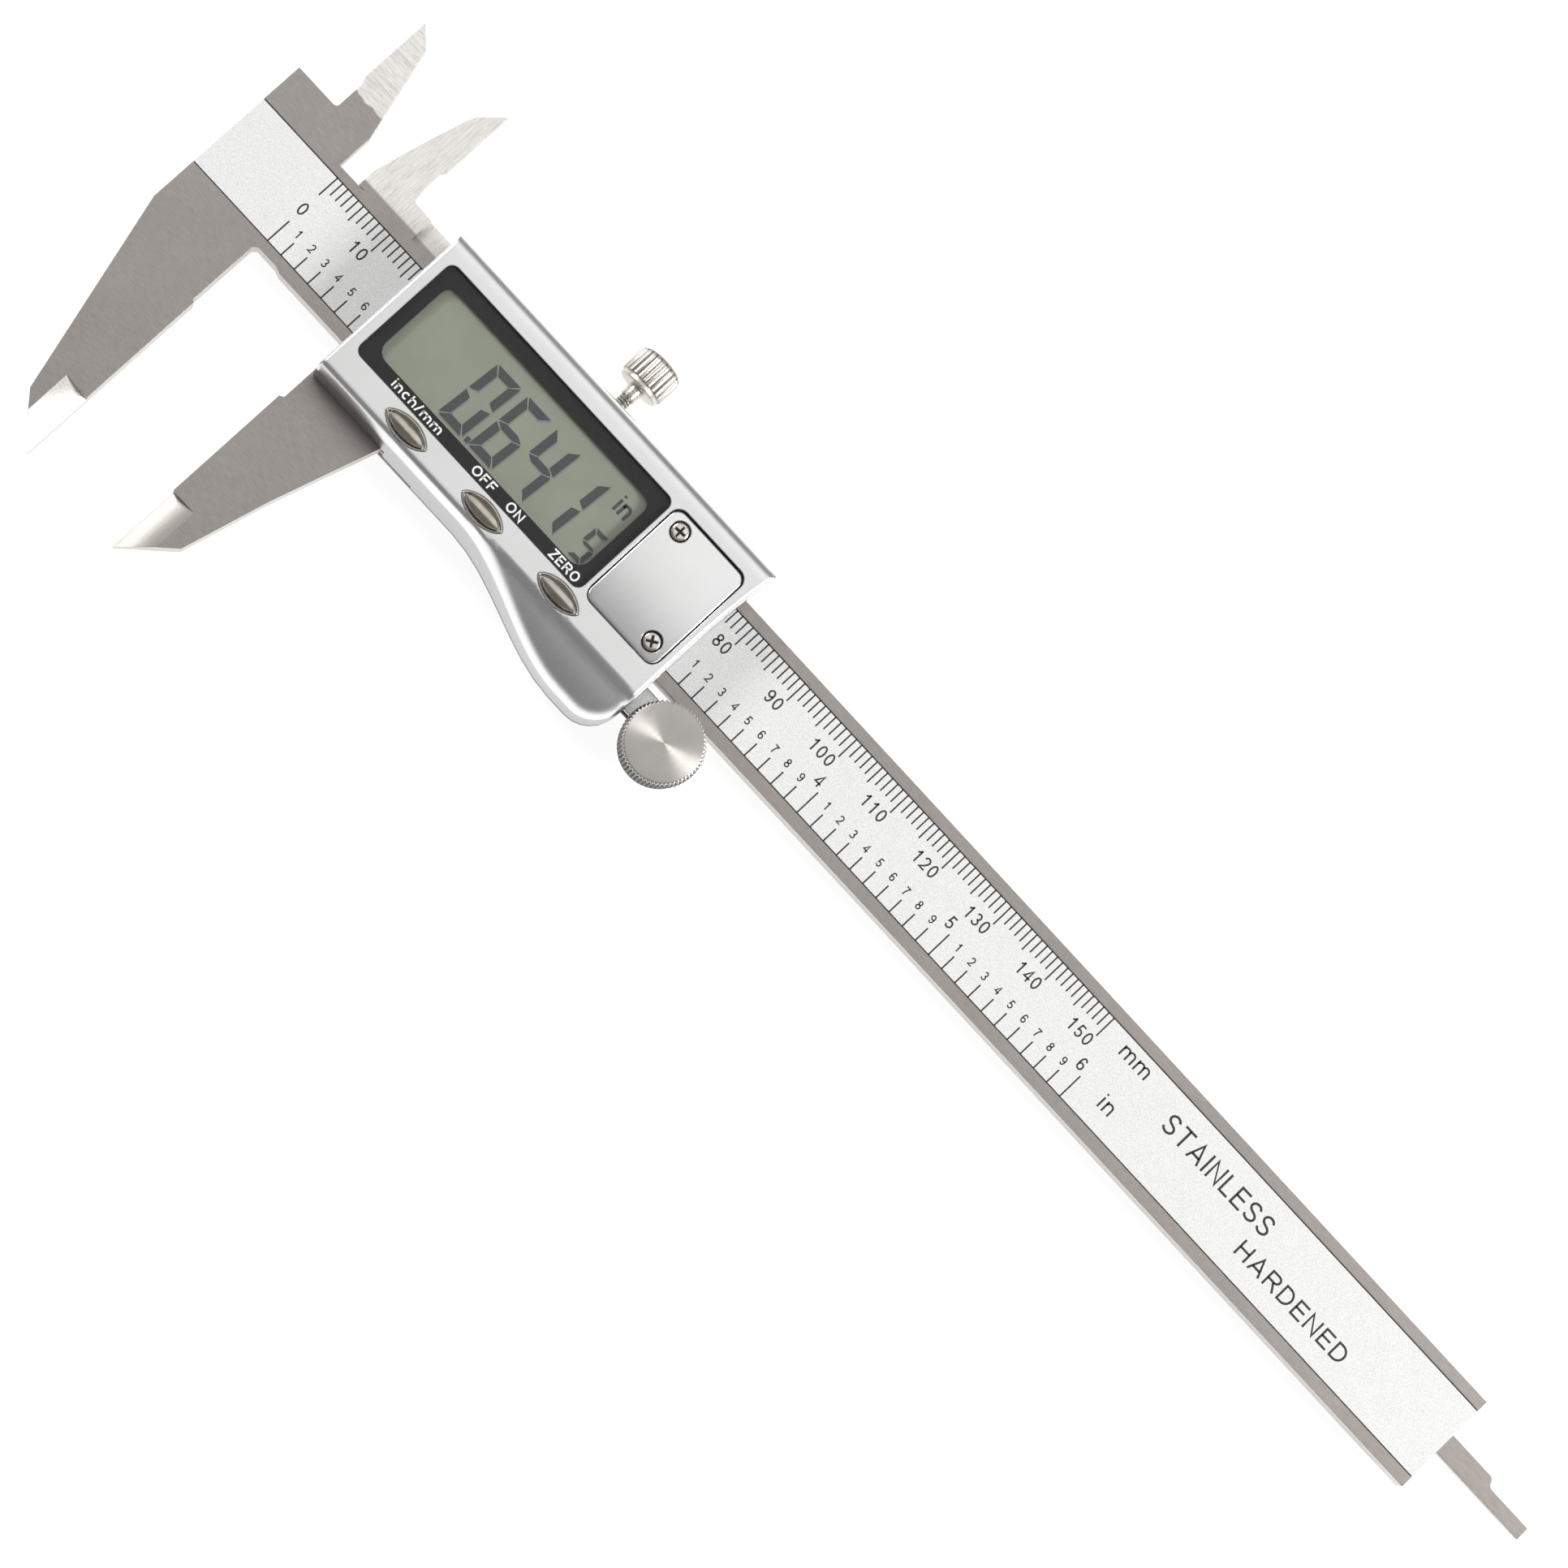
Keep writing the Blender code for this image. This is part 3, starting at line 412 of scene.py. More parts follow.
ARCH = arc(0.26, 0.46, 0.19, 0.21, 180, 0, 10)
LETTERS = {     # each sign's width and pen strokes, for capitals of height 1
    "0": (0.56, [arc(0.28, 0.5, 0.215, 0.44, 0, 360, 28)]),
    "1": (0.56, [[(0.10, 0.73), (0.22, 0.80), (0.33, 0.95)], [(0.33, 1.0), (0.33, 0)]]),
    "2": (0.56, [arc(0.28, 0.70, 0.205, 0.24, 170, -25) + [(0.34, 0.36), (0.06, 0.07), (0.52, 0.07)]]),
    "3": (0.56, [arc(0.27, 0.72, 0.18, 0.22, 155, -90), arc(0.27, 0.28, 0.21, 0.22, 90, -160)]),
    "4": (0.56, [[(0.40, 0), (0.40, 0.93), (0.05, 0.29), (0.55, 0.29)]]),
    "5": (0.56, [[(0.49, 0.93), (0.16, 0.93), (0.11, 0.50)] + arc(0.27, 0.31, 0.215, 0.25, 125, -155)]),
    "6": (0.56, [arc(0.285, 0.30, 0.205, 0.24, 0, 360, 24), arc(0.295, 0.48, 0.225, 0.46, 40, 188)]),
    "7": (0.56, [[(0.05, 0.93), (0.51, 0.93), (0.35, 0.68), (0.25, 0.36), (0.21, 0)]]),
    "8": (0.56, [arc(0.28, 0.735, 0.175, 0.20, 0, 360, 22), arc(0.28, 0.28, 0.21, 0.22, 0, 360, 24)]),
    "9": (0.56, [arc(0.275, 0.70, 0.205, 0.24, 0, 360, 24), arc(0.265, 0.52, 0.225, 0.46, 220, 368)]),
    "S": (0.62, [arc(0.31, 0.725, 0.235, 0.21, 15, 250) + arc(0.31, 0.275, 0.255, 0.215, 75, -165)]),
    "T": (0.64, [[(0.0, 0.94), (0.64, 0.94)], [(0.32, 0.94), (0.32, 0)]]),
    "A": (0.72, [[(0.04, 0), (0.36, 0.96), (0.68, 0)], [(0.15, 0.31), (0.57, 0.31)]]),
    "I": (0.12, [[(0.06, 0), (0.06, 1)]]),
    "N": (0.66, [[(0.06, 0), (0.06, 0.97), (0.60, 0.03), (0.60, 1)]]),
    "L": (0.52, [[(0.06, 1), (0.06, 0.06), (0.52, 0.06)]]),
    "E": (0.60, [[(0.58, 0.94), (0.06, 0.94), (0.06, 0.06), (0.60, 0.06)], [(0.06, 0.52), (0.55, 0.52)]]),
    "H": (0.66, [[(0.06, 0), (0.06, 1)], [(0.60, 0), (0.60, 1)], [(0.06, 0.53), (0.60, 0.53)]]),
    "R": (0.68, [[(0.06, 0), (0.06, 0.94)] + arc(0.40, 0.72, 0.20, 0.22, 90, -90) + [(0.06, 0.50)],
                 [(0.38, 0.48), (0.65, 0)]]),
    "D": (0.68, [arc(0.28, 0.5, 0.34, 0.44, 90, -90) + [(0.06, 0.06), (0.06, 0.94), (0.30, 0.94)]]),
    "O": (0.76, [arc(0.38, 0.5, 0.32, 0.44, 0, 360, 28)]),
    "F": (0.56, [[(0.56, 0.94), (0.06, 0.94), (0.06, 0)], [(0.06, 0.50), (0.49, 0.50)]]),
    "Z": (0.60, [[(0.04, 0.94), (0.56, 0.94), (0.05, 0.06), (0.60, 0.06)]]),
    "m": (0.84, [[(0.06, 0), (0.06, 0.72)], ARCH[:-1] + [(0.45, 0.46), (0.45, 0)],
                 [(x + 0.35, y) for x, y in ARCH] + [(0.80, 0)]]),
    "n": (0.50, [[(0.06, 0), (0.06, 0.72)], ARCH + [(0.45, 0)]]),
    "i": (0.12, [[(0.06, 0), (0.06, 0.72)], [(0.06, 0.87), (0.06, 1)]]),
    "c": (0.48, [arc(0.27, 0.36, 0.21, 0.31, 48, 312)]),
    "h": (0.50, [[(0.06, 0), (0.06, 1)], ARCH + [(0.45, 0)]]),
    "/": (0.30, [[(0.0, 0), (0.28, 1)]]),
}
SIGN_GAP = 0.17


def pen_stroke(path, pen):
    """The two edges of a stroke of the pen along a path, mitred at its corners."""
    closed = (Vector(path[0]) - Vector(path[-1])).length < 0.01 * pen
    left, right = [], []
    for index, point in enumerate(path):
        before = Vector(path[index - 1 if index or not closed else -2])
        after = Vector(path[(index + 1) % len(path) if index < len(path) - 1 or not closed else 1])
        start = (Vector(point) - before).normalized() if index or closed else None
        end = (after - Vector(point)).normalized() if index < len(path) - 1 or closed else None
        start, end = start or end, end or start
        along = (start + end).normalized()
        reach = pen / 2 / max(along.dot(end), 0.45)
        left.append((point[0] - along.y * reach, point[1] + along.x * reach))
        right.append((point[0] + along.y * reach, point[1] - along.x * reach))
    return left, right


def lettering(name, words, height, origin, material, body):
    """Printed words as one flat piece: (text, left, right, base line, capital height, pen width)."""
    bm = bmesh.new()
    for text, start, end, base, tall, pen in words:
        length = sum(LETTERS[sign][0] for sign in text) + SIGN_GAP * (len(text) - 1)
        wide = (end - start) / length
        for sign in text:
            for path in LETTERS[sign][1]:
                left, right = pen_stroke([(start + x * wide, base + y * tall) for x, y in path], pen)
                rows = [[vertex(bm, (x, y, height), origin) for x, y in side] for side in (left, right)]
                for index in range(len(path) - 1):
                    bm.faces.new((rows[0][index], rows[1][index], rows[1][index + 1], rows[0][index + 1]))
            start += (LETTERS[sign][0] + SIGN_GAP) * wide
    new_piece(name, mesh_from(bm, name), material, body)


def figures(text, place, side, base, tall, pen):
    """A number that ends at a place, or is centred on it, for lettering()."""
    length = tall * FIGURE_WIDTH * (sum(LETTERS[sign][0] for sign in text) + SIGN_GAP * (len(text) - 1))
    start = place - length * side
    return text, start, start + length, base, tall, pen


material, shader, place = new_finish("stator_board")
weave = place.noise(1.4, (1, 1, 1), 3.0)
set_finish(shader, {"Base Color": weave.blend((0.03, 0.16, 0.08, 1), (0.06, 0.26, 0.14, 1)),
                    "Roughness": 0.45 + weave * 0.2, "Normal": bump(weave, 0.3, 0.01)})
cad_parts["scale_stator"].data.materials[0] = material
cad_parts["scale_label"].data.materials[0] = label_silver()

label_low, label_high = (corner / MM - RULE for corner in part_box("scale_label"))
print_height = label_high.z + PRINT_RISE
ticks = []
for mark in range(MILLIMETRES + 1):
    length = MM_TICKS[10 if mark % 10 == 0 else 5 if mark % 5 == 0 else 1]
    ticks.append(oblong(SCALE_ZERO + mark - TICK_WIDTH / 2, label_high.y - length, TICK_WIDTH, length))
tenths = int(MILLIMETRES / INCH * 10) + 2
for mark in range(tenths):
    length = INCH_TICK if mark % 10 == 0 else TENTH_TICK
    ticks.append(oblong(SCALE_ZERO + mark * INCH / 10 - TICK_WIDTH / 2, label_low.y, TICK_WIDTH, length))
label_length = label_high.x - label_low.x
ticks.append(oblong(label_low.x, label_low.y, label_length, BORDER_WIDTH))
ticks.append(oblong(label_low.x, label_high.y - BORDER_WIDTH, label_length, BORDER_WIDTH))
black_print = print_ink("black_print", PRINT_BLACK)
flat_shapes("scale_ticks", ticks, print_height, RULE, black_print, "rule")

FIGURE_Y = 0.82
TENTH_Y = -3.22
INCH_FIGURE_Y = -1.98
FIGURE_WIDTH = 1.06
FIGURE_PEN = 0.24
TENTH_PEN = 0.18
words = [figures("0", SCALE_ZERO, 0.5, -0.84, 1.88, FIGURE_PEN)]
for mark in range(10, MILLIMETRES + 1, 10):
    words.append(figures(str(mark), SCALE_ZERO + mark + 0.06, 1, FIGURE_Y, FIGURE_HEIGHT, FIGURE_PEN))
for mark in range(1, tenths):
    x = SCALE_ZERO + mark * INCH / 10
    if mark % 10:
        words.append(figures(str(mark % 10), x - 0.43, 0.5, TENTH_Y, TENTH_HEIGHT, TENTH_PEN))
    else:
        words.append(figures(str(mark // 10), x - 0.45, 1, INCH_FIGURE_Y, FIGURE_HEIGHT, FIGURE_PEN))
lettering("scale_figures", words, print_height, RULE, black_print, "rule")
words = [
    ("mm", 153.95, 158.9, 3.42, 2.26, 0.27),
    ("in", 156.92, 159.05, -3.42, 2.28, 0.27),
    ("STAINLESS", 164.8, 184.9, 0.83, 2.87, 0.34),
    ("HARDENED", 183.4, 203.9, -3.34, 2.48, 0.32),
]
lettering("scale_words", words, print_height, RULE, black_print, "rule")

# --------------------------------------------------
# The front housing: a zinc die casting, plated with satin chrome. Its long edges are rounded, and
# below the buttons the front falls away in a hollow for the thumb, down to a thin bright rim.
CHROME = (0.90, 0.893, 0.89, 1)
CHROME_SHADE = (0.82, 0.813, 0.81, 1)
# Upright faces: painted shade, a darker chrome.
CHROME_SIDE_PAINTED_SHADE = (0.50, 0.495, 0.50, 1)
FRONT = 8.0
TOP_EDGE = 12.2
LEFT_END = 1.05
RIGHT_END = 60.35
RIGHT_CORNER = 61.35
LOW_EDGE = -13.9
GRIP_EDGE = -19.3
GRIP_START = 28.0
GRIP_END = 52.5
GRIP_CORNER = 4.85
HOLLOW_RIDGE = -12.95
HOLLOW_SLOPE = 0.78
HOUSING_WALL = 1.2
OVER_RULE = 0.15
SKIRT_LOW = -3.2
JAW_END = 14.6
EDGE_LIP = 0.10


def satin_chrome():
    material, shader, place = new_finish("satin_chrome")
    grain = place.noise(11.0, (1, 1, 1), 2.0, 0.7)
    patch = place.noise(0.08, (1, 1, 1), 2.0)
    scuff = place.noise(1.1, (0.25, 1, 1), 4.0, 0.75).step(0.66, 0.74)
    colour = (grain * 0.5 + patch * 0.5).step(0.35, 0.65).blend(CHROME_SHADE, CHROME)
    # Upright faces are painted darker: painted shade on the side walls.
    colour = facing_up(place).step(0.05, 0.35).blend(CHROME_SIDE_PAINTED_SHADE, colour)
    set_finish(shader, {"Base Color": colour, "Metallic": 1.0,
                        "Roughness": 0.235 + grain * 0.06 + patch * 0.05 + scuff * 0.06,
                        "Normal": bump(grain, 0.16, 0.006)})
    return material


def ease(share):
    return share * share * (3 - 2 * share)


def grip_edge(x):
    """The housing's lower edge, which swells out round the thumb hollow."""
    share = np.clip((x - GRIP_START) / (GRIP_END - GRIP_START), 0, 1)
    edge = LOW_EDGE + (GRIP_EDGE - LOW_EDGE) * ease(share)
    along = np.clip(x - (RIGHT_END - GRIP_CORNER), 0, GRIP_CORNER)
    return edge + GRIP_CORNER - np.sqrt(GRIP_CORNER ** 2 - along ** 2)


def even(start, end, steps):
    return [start + (end - start) * step / steps for step in range(steps)]


def distance_to(points, starts, ends):
    """How far each point is from the nearest of some straight edges, in the plane."""
    points = np.asarray(points, float)[:, None, :]
    start = np.asarray(starts, float)[None]
    step = np.asarray(ends, float)[None] - start
    share = np.clip(((points - start) * step).sum(2) / (step ** 2).sum(2), 0, 1)
    return np.sqrt((((start + step * share[..., None]) - points) ** 2).sum(2)).min(1)


def distance_to_loop(points, loop):
    return distance_to(points, loop, loop[1:] + loop[:1])


def finer(loop, longest):
    """The same loop, with its long edges cut up."""
    points = []
    for index, corner in enumerate(loop):
        start, end = Vector(corner), Vector(loop[(index + 1) % len(loop)])
        parts = max(1, math.ceil((end - start).length / longest))
        points.append(corner)
        points += [tuple(start.lerp(end, part / parts)) for part in range(1, parts)]
    return points


def inside(points, loop):
    points = np.asarray(points, float)
    within = np.zeros(len(points), bool)
    for (x0, y0), (x1, y1) in zip(loop, loop[1:] + loop[:1]):
        if y0 != y1:
            crosses = (y0 > points[:, 1]) != (y1 > points[:, 1])
            within ^= crosses & (points[:, 0] < (x1 - x0) * (points[:, 1] - y0) / (y1 - y0) + x0)
    return within


def inset(loop, widths):
    """A loop, counter-clockwise, moved inwards by a width for each of its edges."""
    moved = []
    for index, corner in enumerate(loop):
        corner = Vector(corner)
        before = (corner - Vector(loop[index - 1])).normalized()
        after = (Vector(loop[(index + 1) % len(loop)]) - corner).normalized()
        first = Vector((-before.y, before.x)), widths[index - 1]
        second = Vector((-after.y, after.x)), widths[index]
        turn = before.cross(after)
        if abs(turn) < 0.2:
            middle = (first[0] + second[0]).normalized()
            moved.append(tuple(corner + middle * (first[1] + second[1]) / 2))
        else:
            away = before * (second[1] / turn) * -1 + after * (first[1] / turn)
            moved.append(tuple(corner + away))
    return moved


def skin(name, loop, edges, top, holes, pitch, base, origin, wall=0.0):
    """A shaped front with rounded edges and side walls, and holes through it.

    loop is counter-clockwise. edges holds the width and fall of each rounding by name, and then the
    rounding's name for each edge of the loop. holes are (loop, floor height or None).
    """
    rounding, of_edge = edges
    corners = loop
    loop = finer(corners, pitch)
    of_edge = [of_edge[corners.index(point)] if point in corners else None for point in loop]
    for index, edge in enumerate(of_edge):
        of_edge[index] = edge or of_edge[index - 1]
    holes = [(finer(hole, pitch), floor) for hole, floor in holes]
    ends = loop[1:] + loop[:1]

    def height(points):
        points = np.asarray(points, float)
        fall = np.zeros(len(points))
        for key, (width, drop) in rounding.items():
            kept = [index for index, edge in enumerate(of_edge) if edge == key]
            reach = distance_to(points, [loop[index] for index in kept], [ends[index] for index in kept])
            near = np.clip(1 - reach / width, 0, 1)
            fall = np.maximum(fall, drop * (1 - np.sqrt(np.clip(1 - near ** 2, 0, 1))))
        return top(points[:, 0], points[:, 1]) - fall

    flat, lines = [], []

    def add_loop(points):
        start = len(flat)
        flat.extend(Vector(point) for point in points)
        count = len(points)
        lines.extend((start + index, start + (index + 1) % count) for index in range(count))

    for angle in (0, 12, 26, 40, 54, 68, 80, 90):
        share = 1 - math.cos(math.radians(angle))
        add_loop(inset(loop, [rounding[key][0] * share for key in of_edge]) if angle else loop)
    inner = inset(loop, [rounding[key][0] for key in of_edge])
    lipped = []
    for hole, floor in holes:
        add_loop(hole)
        outer = inset(hole, [-EDGE_LIP] * len(hole))
        add_loop(outer)
        lipped.append(outer)
    xs, ys = zip(*loop)
    rows = np.arange(min(ys), max(ys), pitch)
    grid = [(x, y) for x in np.arange(min(xs), max(xs), pitch) for y in rows]
    kept = inside(grid, inner) & (distance_to_loop(grid, inner) > 0.3 * pitch)
    for outer in lipped:
        kept &= ~inside(grid, outer) & (distance_to_loop(grid, outer) > 0.3 * pitch)
    flat.extend(Vector(point) for point, keep in zip(grid, kept) if keep)
    points, _, faces, *_ = delaunay_2d_cdt(flat, lines, [], 1, 1e-6)
    middles = [sum((points[index] for index in face), Vector((0, 0))) / len(face) for face in faces]
    solid = inside(middles, list(loop))
    for hole, floor in holes:
        solid &= ~inside(middles, hole)
    heights = height(points)
    for hole, floor in holes:
        near = distance_to_loop(points, hole) < EDGE_LIP / 2
        heights = np.where(near, heights - EDGE_LIP, heights)
    bm = bmesh.new()
    made = [vertex(bm, (x, y, z), origin) for (x, y), z in zip(points, heights)]
    for face, keep in zip(faces, solid):
        if keep:
            bm.faces.new([made[index] for index in face])

    def band(upper, lower):
        for index in range(len(upper)):
            after = (index + 1) % len(upper)
            bm.faces.new((upper[index], lower[index], lower[after], upper[after]))

    def ring(points, levels):
        return [vertex(bm, (x, y, z), origin) for (x, y), z in zip(points, levels)]

    low = [base(x, y) for x, y in loop]
    rings = [ring(loop, height(loop)), ring(loop, low)]
    if wall:
        thick = inset(loop, [wall] * len(loop))
        rings.append(ring(thick, low))
        rings.append(ring(thick, [level + 2 for level in low]))
    else:
        bm.faces.new(rings[-1])
    for upper, lower in zip(rings, rings[1:]):
        band(upper, lower)
    for hole, floor in holes:
        edge = height(hole) - EDGE_LIP
        depth = [level - 1.2 for level in edge] if floor is None else [floor] * len(hole)
        lower = ring(hole, depth)
        band(ring(hole, edge), lower)
        if floor is not None:
            bm.faces.new(lower)
    bmesh.ops.remove_doubles(bm, verts=bm.verts, dist=0.0001 * MM)
    bmesh.ops.recalc_face_normals(bm, faces=bm.faces)
    front = [face for face in bm.faces if face.calc_center_median().z > (origin.z + max(heights) - 1) * MM]
    if sum(face.normal.z * face.calc_area() for face in front) < 0:
        bmesh.ops.reverse_faces(bm, faces=bm.faces)
    mesh = mesh_from(bm, name)
    mesh.shade_smooth()
    mesh.set_sharp_from_angle(angle=math.radians(38))
    return mesh


def round_corners(centre, size, radius, steps=6):
    """A rectangle with rounded corners, counter-clockwise."""
    points = []
    for quarter in range(4):
        middle = math.radians(45 + 90 * quarter)
        x = centre[0] + math.copysign(size[0] / 2 - radius, math.cos(middle))
        y = centre[1] + math.copysign(size[1] / 2 - radius, math.sin(middle))
        for step in range(steps + 1):
            turn = math.radians(90 * (quarter + step / steps))
            points.append((x + radius * math.cos(turn), y + radius * math.sin(turn)))
    return points


LEAF = 1.42     # how much finer than an ellipse a button's noses are


def lens(centre, size, steps=30):
    """A leaf shape with small round noses, counter-clockwise."""
    points = []
    for step in range(2 * steps):
        turn = math.pi * step / steps
        swell = math.copysign(abs(math.sin(turn)) ** LEAF, math.sin(turn))
        points.append((centre[0] + size[0] / 2 * math.cos(turn), centre[1] + size[1] / 2 * swell))
    return points


WINDOW_PLACE, WINDOW_SIZE, WINDOW_CORNER = (24.0, -0.2), (42.3, 17.3), 1.25
LID_PLACE, LID_SIZE, LID_CORNER = (52.4, 0.0), (13.0, 17.1), 1.45
LID_GAP = 0.15
BAY_FLOOR = 7.06
BUTTON_Y = -11.0
BUTTONS = {"unit": 14.9, "power": 29.3, "zero": 43.7}
RIM_SIZE = (7.45, 3.3)

bottom = [(x, LOW_EDGE) for x in even(LEFT_END, JAW_END, 10) + [JAW_END, JAW_END + 0.03]]
bottom += [(x, LOW_EDGE) for x in even(JAW_END + 1.2, GRIP_START, 10)]
bottom += [(x, float(grip_edge(x))) for x in even(GRIP_START, RIGHT_END - GRIP_CORNER, 36)]
for step in range(13):
    turn = math.radians(-90 + 90 * step / 12)
    bottom.append((RIGHT_END - GRIP_CORNER + GRIP_CORNER * math.cos(turn),
                   GRIP_EDGE + GRIP_CORNER + GRIP_CORNER * math.sin(turn)))
side = []
for y in even(-13.2, -8.3, 3) + [-8.3] + even(-8.2, TOP_EDGE, 16):
    share = max(0.0, (y + 3.0) / (TOP_EDGE + 3.0))
    side.append((RIGHT_END + (RIGHT_CORNER - RIGHT_END) * share ** 2, y))
upper = [(x, TOP_EDGE) for x in even(RIGHT_CORNER, LEFT_END, 30)]
left = [(LEFT_END, y) for y in even(TOP_EDGE, LOW_EDGE, 14)]
housing_loop = bottom + side + upper + left
housing_edges = (["bottom"] * (len(bottom) - 1) + ["side"] * (len(side) + 1) + ["upper"] * len(upper)
                 + ["left"] * len(left))
housing_rounding = {"bottom": (1.45, 1.6), "side": (0.8, 0.8), "upper": (2.1, 1.7), "left": (0.5, 0.5)}


def housing_front(x, y):
    """The front's height: flat, then falling from the ridge below the buttons to the rim."""
    width = np.maximum(HOLLOW_RIDGE - grip_edge(x), 0.05)
    share = np.clip((HOLLOW_RIDGE - y) / width, -1, 1.2)
    soft = 0.10
    eased_share = (np.sqrt(share ** 2 + soft ** 2) + share) / 2 - soft / 2
    fall = 1 - (1 - np.clip(eased_share, 0, 1)) ** 1.3
    return FRONT - HOLLOW_SLOPE * width * fall


def housing_base(x, y):
    return OVER_RULE if y > -8.25 or x < JAW_END + 0.01 else SKIRT_LOW


bay_size = [width + 2 * LID_GAP for width in LID_SIZE]
openings = [(round_corners(WINDOW_PLACE, WINDOW_SIZE, WINDOW_CORNER), None),
            (round_corners(LID_PLACE, bay_size, LID_CORNER + LID_GAP), BAY_FLOOR)]
openings += [(lens((x, BUTTON_Y), RIM_SIZE), None) for x in BUTTONS.values()]
chrome = satin_chrome()
mesh = skin("housing_shell", housing_loop, (housing_rounding, housing_edges), housing_front, openings, 0.8,
            housing_base, SLIDER, HOUSING_WALL)
housing = new_piece("housing_shell", mesh, chrome, "slider")
flat_shading(housing, 90)
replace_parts(housing, "front_housing")

# --------------------------------------------------
# The display: a clear acrylic window over a printed black mask with white legends, and behind it
# the liquid crystal glass in its black frame. Lit segments are dark. The soft shadow they throw on
# the grey-green reflector behind the glass is a painted shadow: a paler, offset copy of them.
GLASS_GREEN = (0.275, 0.295, 0.235, 1)
GLASS_SHADE = (0.235, 0.255, 0.20, 1)
SEGMENT_DARK = (0.045, 0.049, 0.051, 1)
# Painted shadow colour of the segments on the reflector.
SEGMENT_SHADOW = (0.185, 0.20, 0.165, 1)
MASK_BLACK = (0.012, 0.011, 0.011, 1)
LEGEND_WHITE = (0.92, 0.92, 0.92, 1)
FIGURE_PITCH = 5.72
FIGURE_SIZE = (4.5, 10.2)
FIGURE_STROKE = 1.18
FIGURE_LOW = -6.15
FIGURE_START = 15.75
POINT = (20.72, FIGURE_LOW, 0.66, 0.85)
HALF_START = 40.3
HALF_SIZE = (2.45, 5.1)
HALF_STROKE = 0.66
SHADOW_SHIFT = (0.22, -0.20)
SEGMENT_RISE = 0.03
SLANT = 0.072
SEGMENT_GAP = 0.09
LIT = {"0": "abcdef", "6": "acdefg", "4": "bcfg", "1": "bc", "5": "acdfg"}

material, shader, place = new_finish("window_acrylic")
dust = place.noise(2.2, (1, 1, 1), 4.0, 0.7).step(0.70, 0.80)
set_finish(shader, {"Base Color": (0.55, 0.56, 0.56, 1), "Roughness": 0.04 + dust * 0.2, "IOR": 1.49,
                    "Alpha": 0.014 + dust * 0.03})
eased("display_window", 0.18, material, "slider", 3)

material, shader, place = new_finish("mask_black")
grain = place.noise(5.0, (1, 1, 1), 3.0)
fleck = place.noise(3.1, (1, 1, 1), 2.0, 0.9).step(0.80, 0.84)
set_finish(shader, {"Base Color": fleck.blend(MASK_BLACK, (0.16, 0.155, 0.15, 1)),
                    "Specular IOR Level": 0.22, "Roughness": 0.30 + grain * 0.12,
                    "Normal": bump(grain, 0.15, 0.004)})
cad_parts["window_mask"].data.materials[0] = material

material, shader, place = new_finish("display_glass")
grain = place.noise(7.0, (1, 1, 1), 3.0, 0.7)
cloud = place.noise(0.12, (1, 1, 1), 2.0)
colour = (grain * 0.5 + cloud * 0.5).step(0.35, 0.65).blend(GLASS_SHADE, GLASS_GREEN)
set_finish(shader, {"Base Color": colour,
                    "Roughness": 0.36 + grain * 0.1, "Normal": bump(grain, 0.15, 0.006)})
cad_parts["lcd_panel"].data.materials[0] = material


def figure(x, y, size, stroke, lit):
    """The outlines of the lit segments of one slanted figure."""
    wide, tall = size
    middle, half = tall / 2, stroke / 2
    gap = SEGMENT_GAP
    outlines = {
        "a": [(2 * gap, tall), (wide - 2 * gap, tall), (wide - stroke - gap, tall - stroke),
              (stroke + gap, tall - stroke)],
        "d": [(2 * gap, 0), (wide - 2 * gap, 0), (wide - stroke - gap, stroke), (stroke + gap, stroke)],
        "g": [(2 * gap, middle), (stroke, middle + half - gap), (wide - stroke, middle + half - gap),
              (wide - 2 * gap, middle), (wide - stroke, middle - half + gap),
              (stroke, middle - half + gap)],
        "f": [(0, tall - 2 * gap), (stroke, tall - stroke - gap), (stroke, middle + half + gap),
              (0, middle + 2 * gap)],
        "e": [(0, 2 * gap), (stroke, stroke + gap), (stroke, middle - half - gap), (0, middle - 2 * gap)],
    }
    outlines["b"] = [(wide - px, py) for px, py in outlines["f"]]
    outlines["c"] = [(wide - px, py) for px, py in outlines["e"]]
    return [[(x + px + SLANT * py, y + py) for px, py in outlines[key]] for key in lit]


segments = []
for index, sign in enumerate("0641"):
    place = FIGURE_START + FIGURE_PITCH * index
    segments += figure(place, FIGURE_LOW, FIGURE_SIZE, FIGURE_STROKE, LIT[sign])
segments.append(oblong(*POINT))
segments += figure(HALF_START, FIGURE_LOW, HALF_SIZE, HALF_STROKE, LIT["5"])
panel_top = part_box("lcd_panel")[1].z / MM - SLIDER.z
# This paler ink is painted shadow, not print.
painted_shadow_ink = print_ink("segment_painted_shadow", SEGMENT_SHADOW, 0.0)
segment_ink = print_ink("segment_ink", SEGMENT_DARK, 0.3)
# Painted shadow: each lit segment again, offset and paler, just above the glass.
shadow = [[(x + SHADOW_SHIFT[0], y + SHADOW_SHIFT[1]) for x, y in outline] for outline in segments]
flat_shapes("display_shadows", shadow, panel_top + PRINT_RISE, SLIDER, painted_shadow_ink, "slider")
segment_height = panel_top + SEGMENT_RISE
flat_shapes("display_figures", segments, segment_height, SLIDER, segment_ink, "slider")
lettering("display_unit", [("in", 40.2, 42.35, 2.06, 2.56, 0.44)], segment_height, SLIDER, segment_ink,
          "slider")
mask_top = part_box("window_mask")[1].z / MM - SLIDER.z
LEGEND_Y = -8.38
LEGEND_HEIGHT = 1.32
LEGEND_PEN = 0.25
legends = {"inch/mm": (9.24, 18.1), "OFF": (24.3, 28.25), "ON": (30.75, 33.5), "ZERO": (39.06, 44.05)}
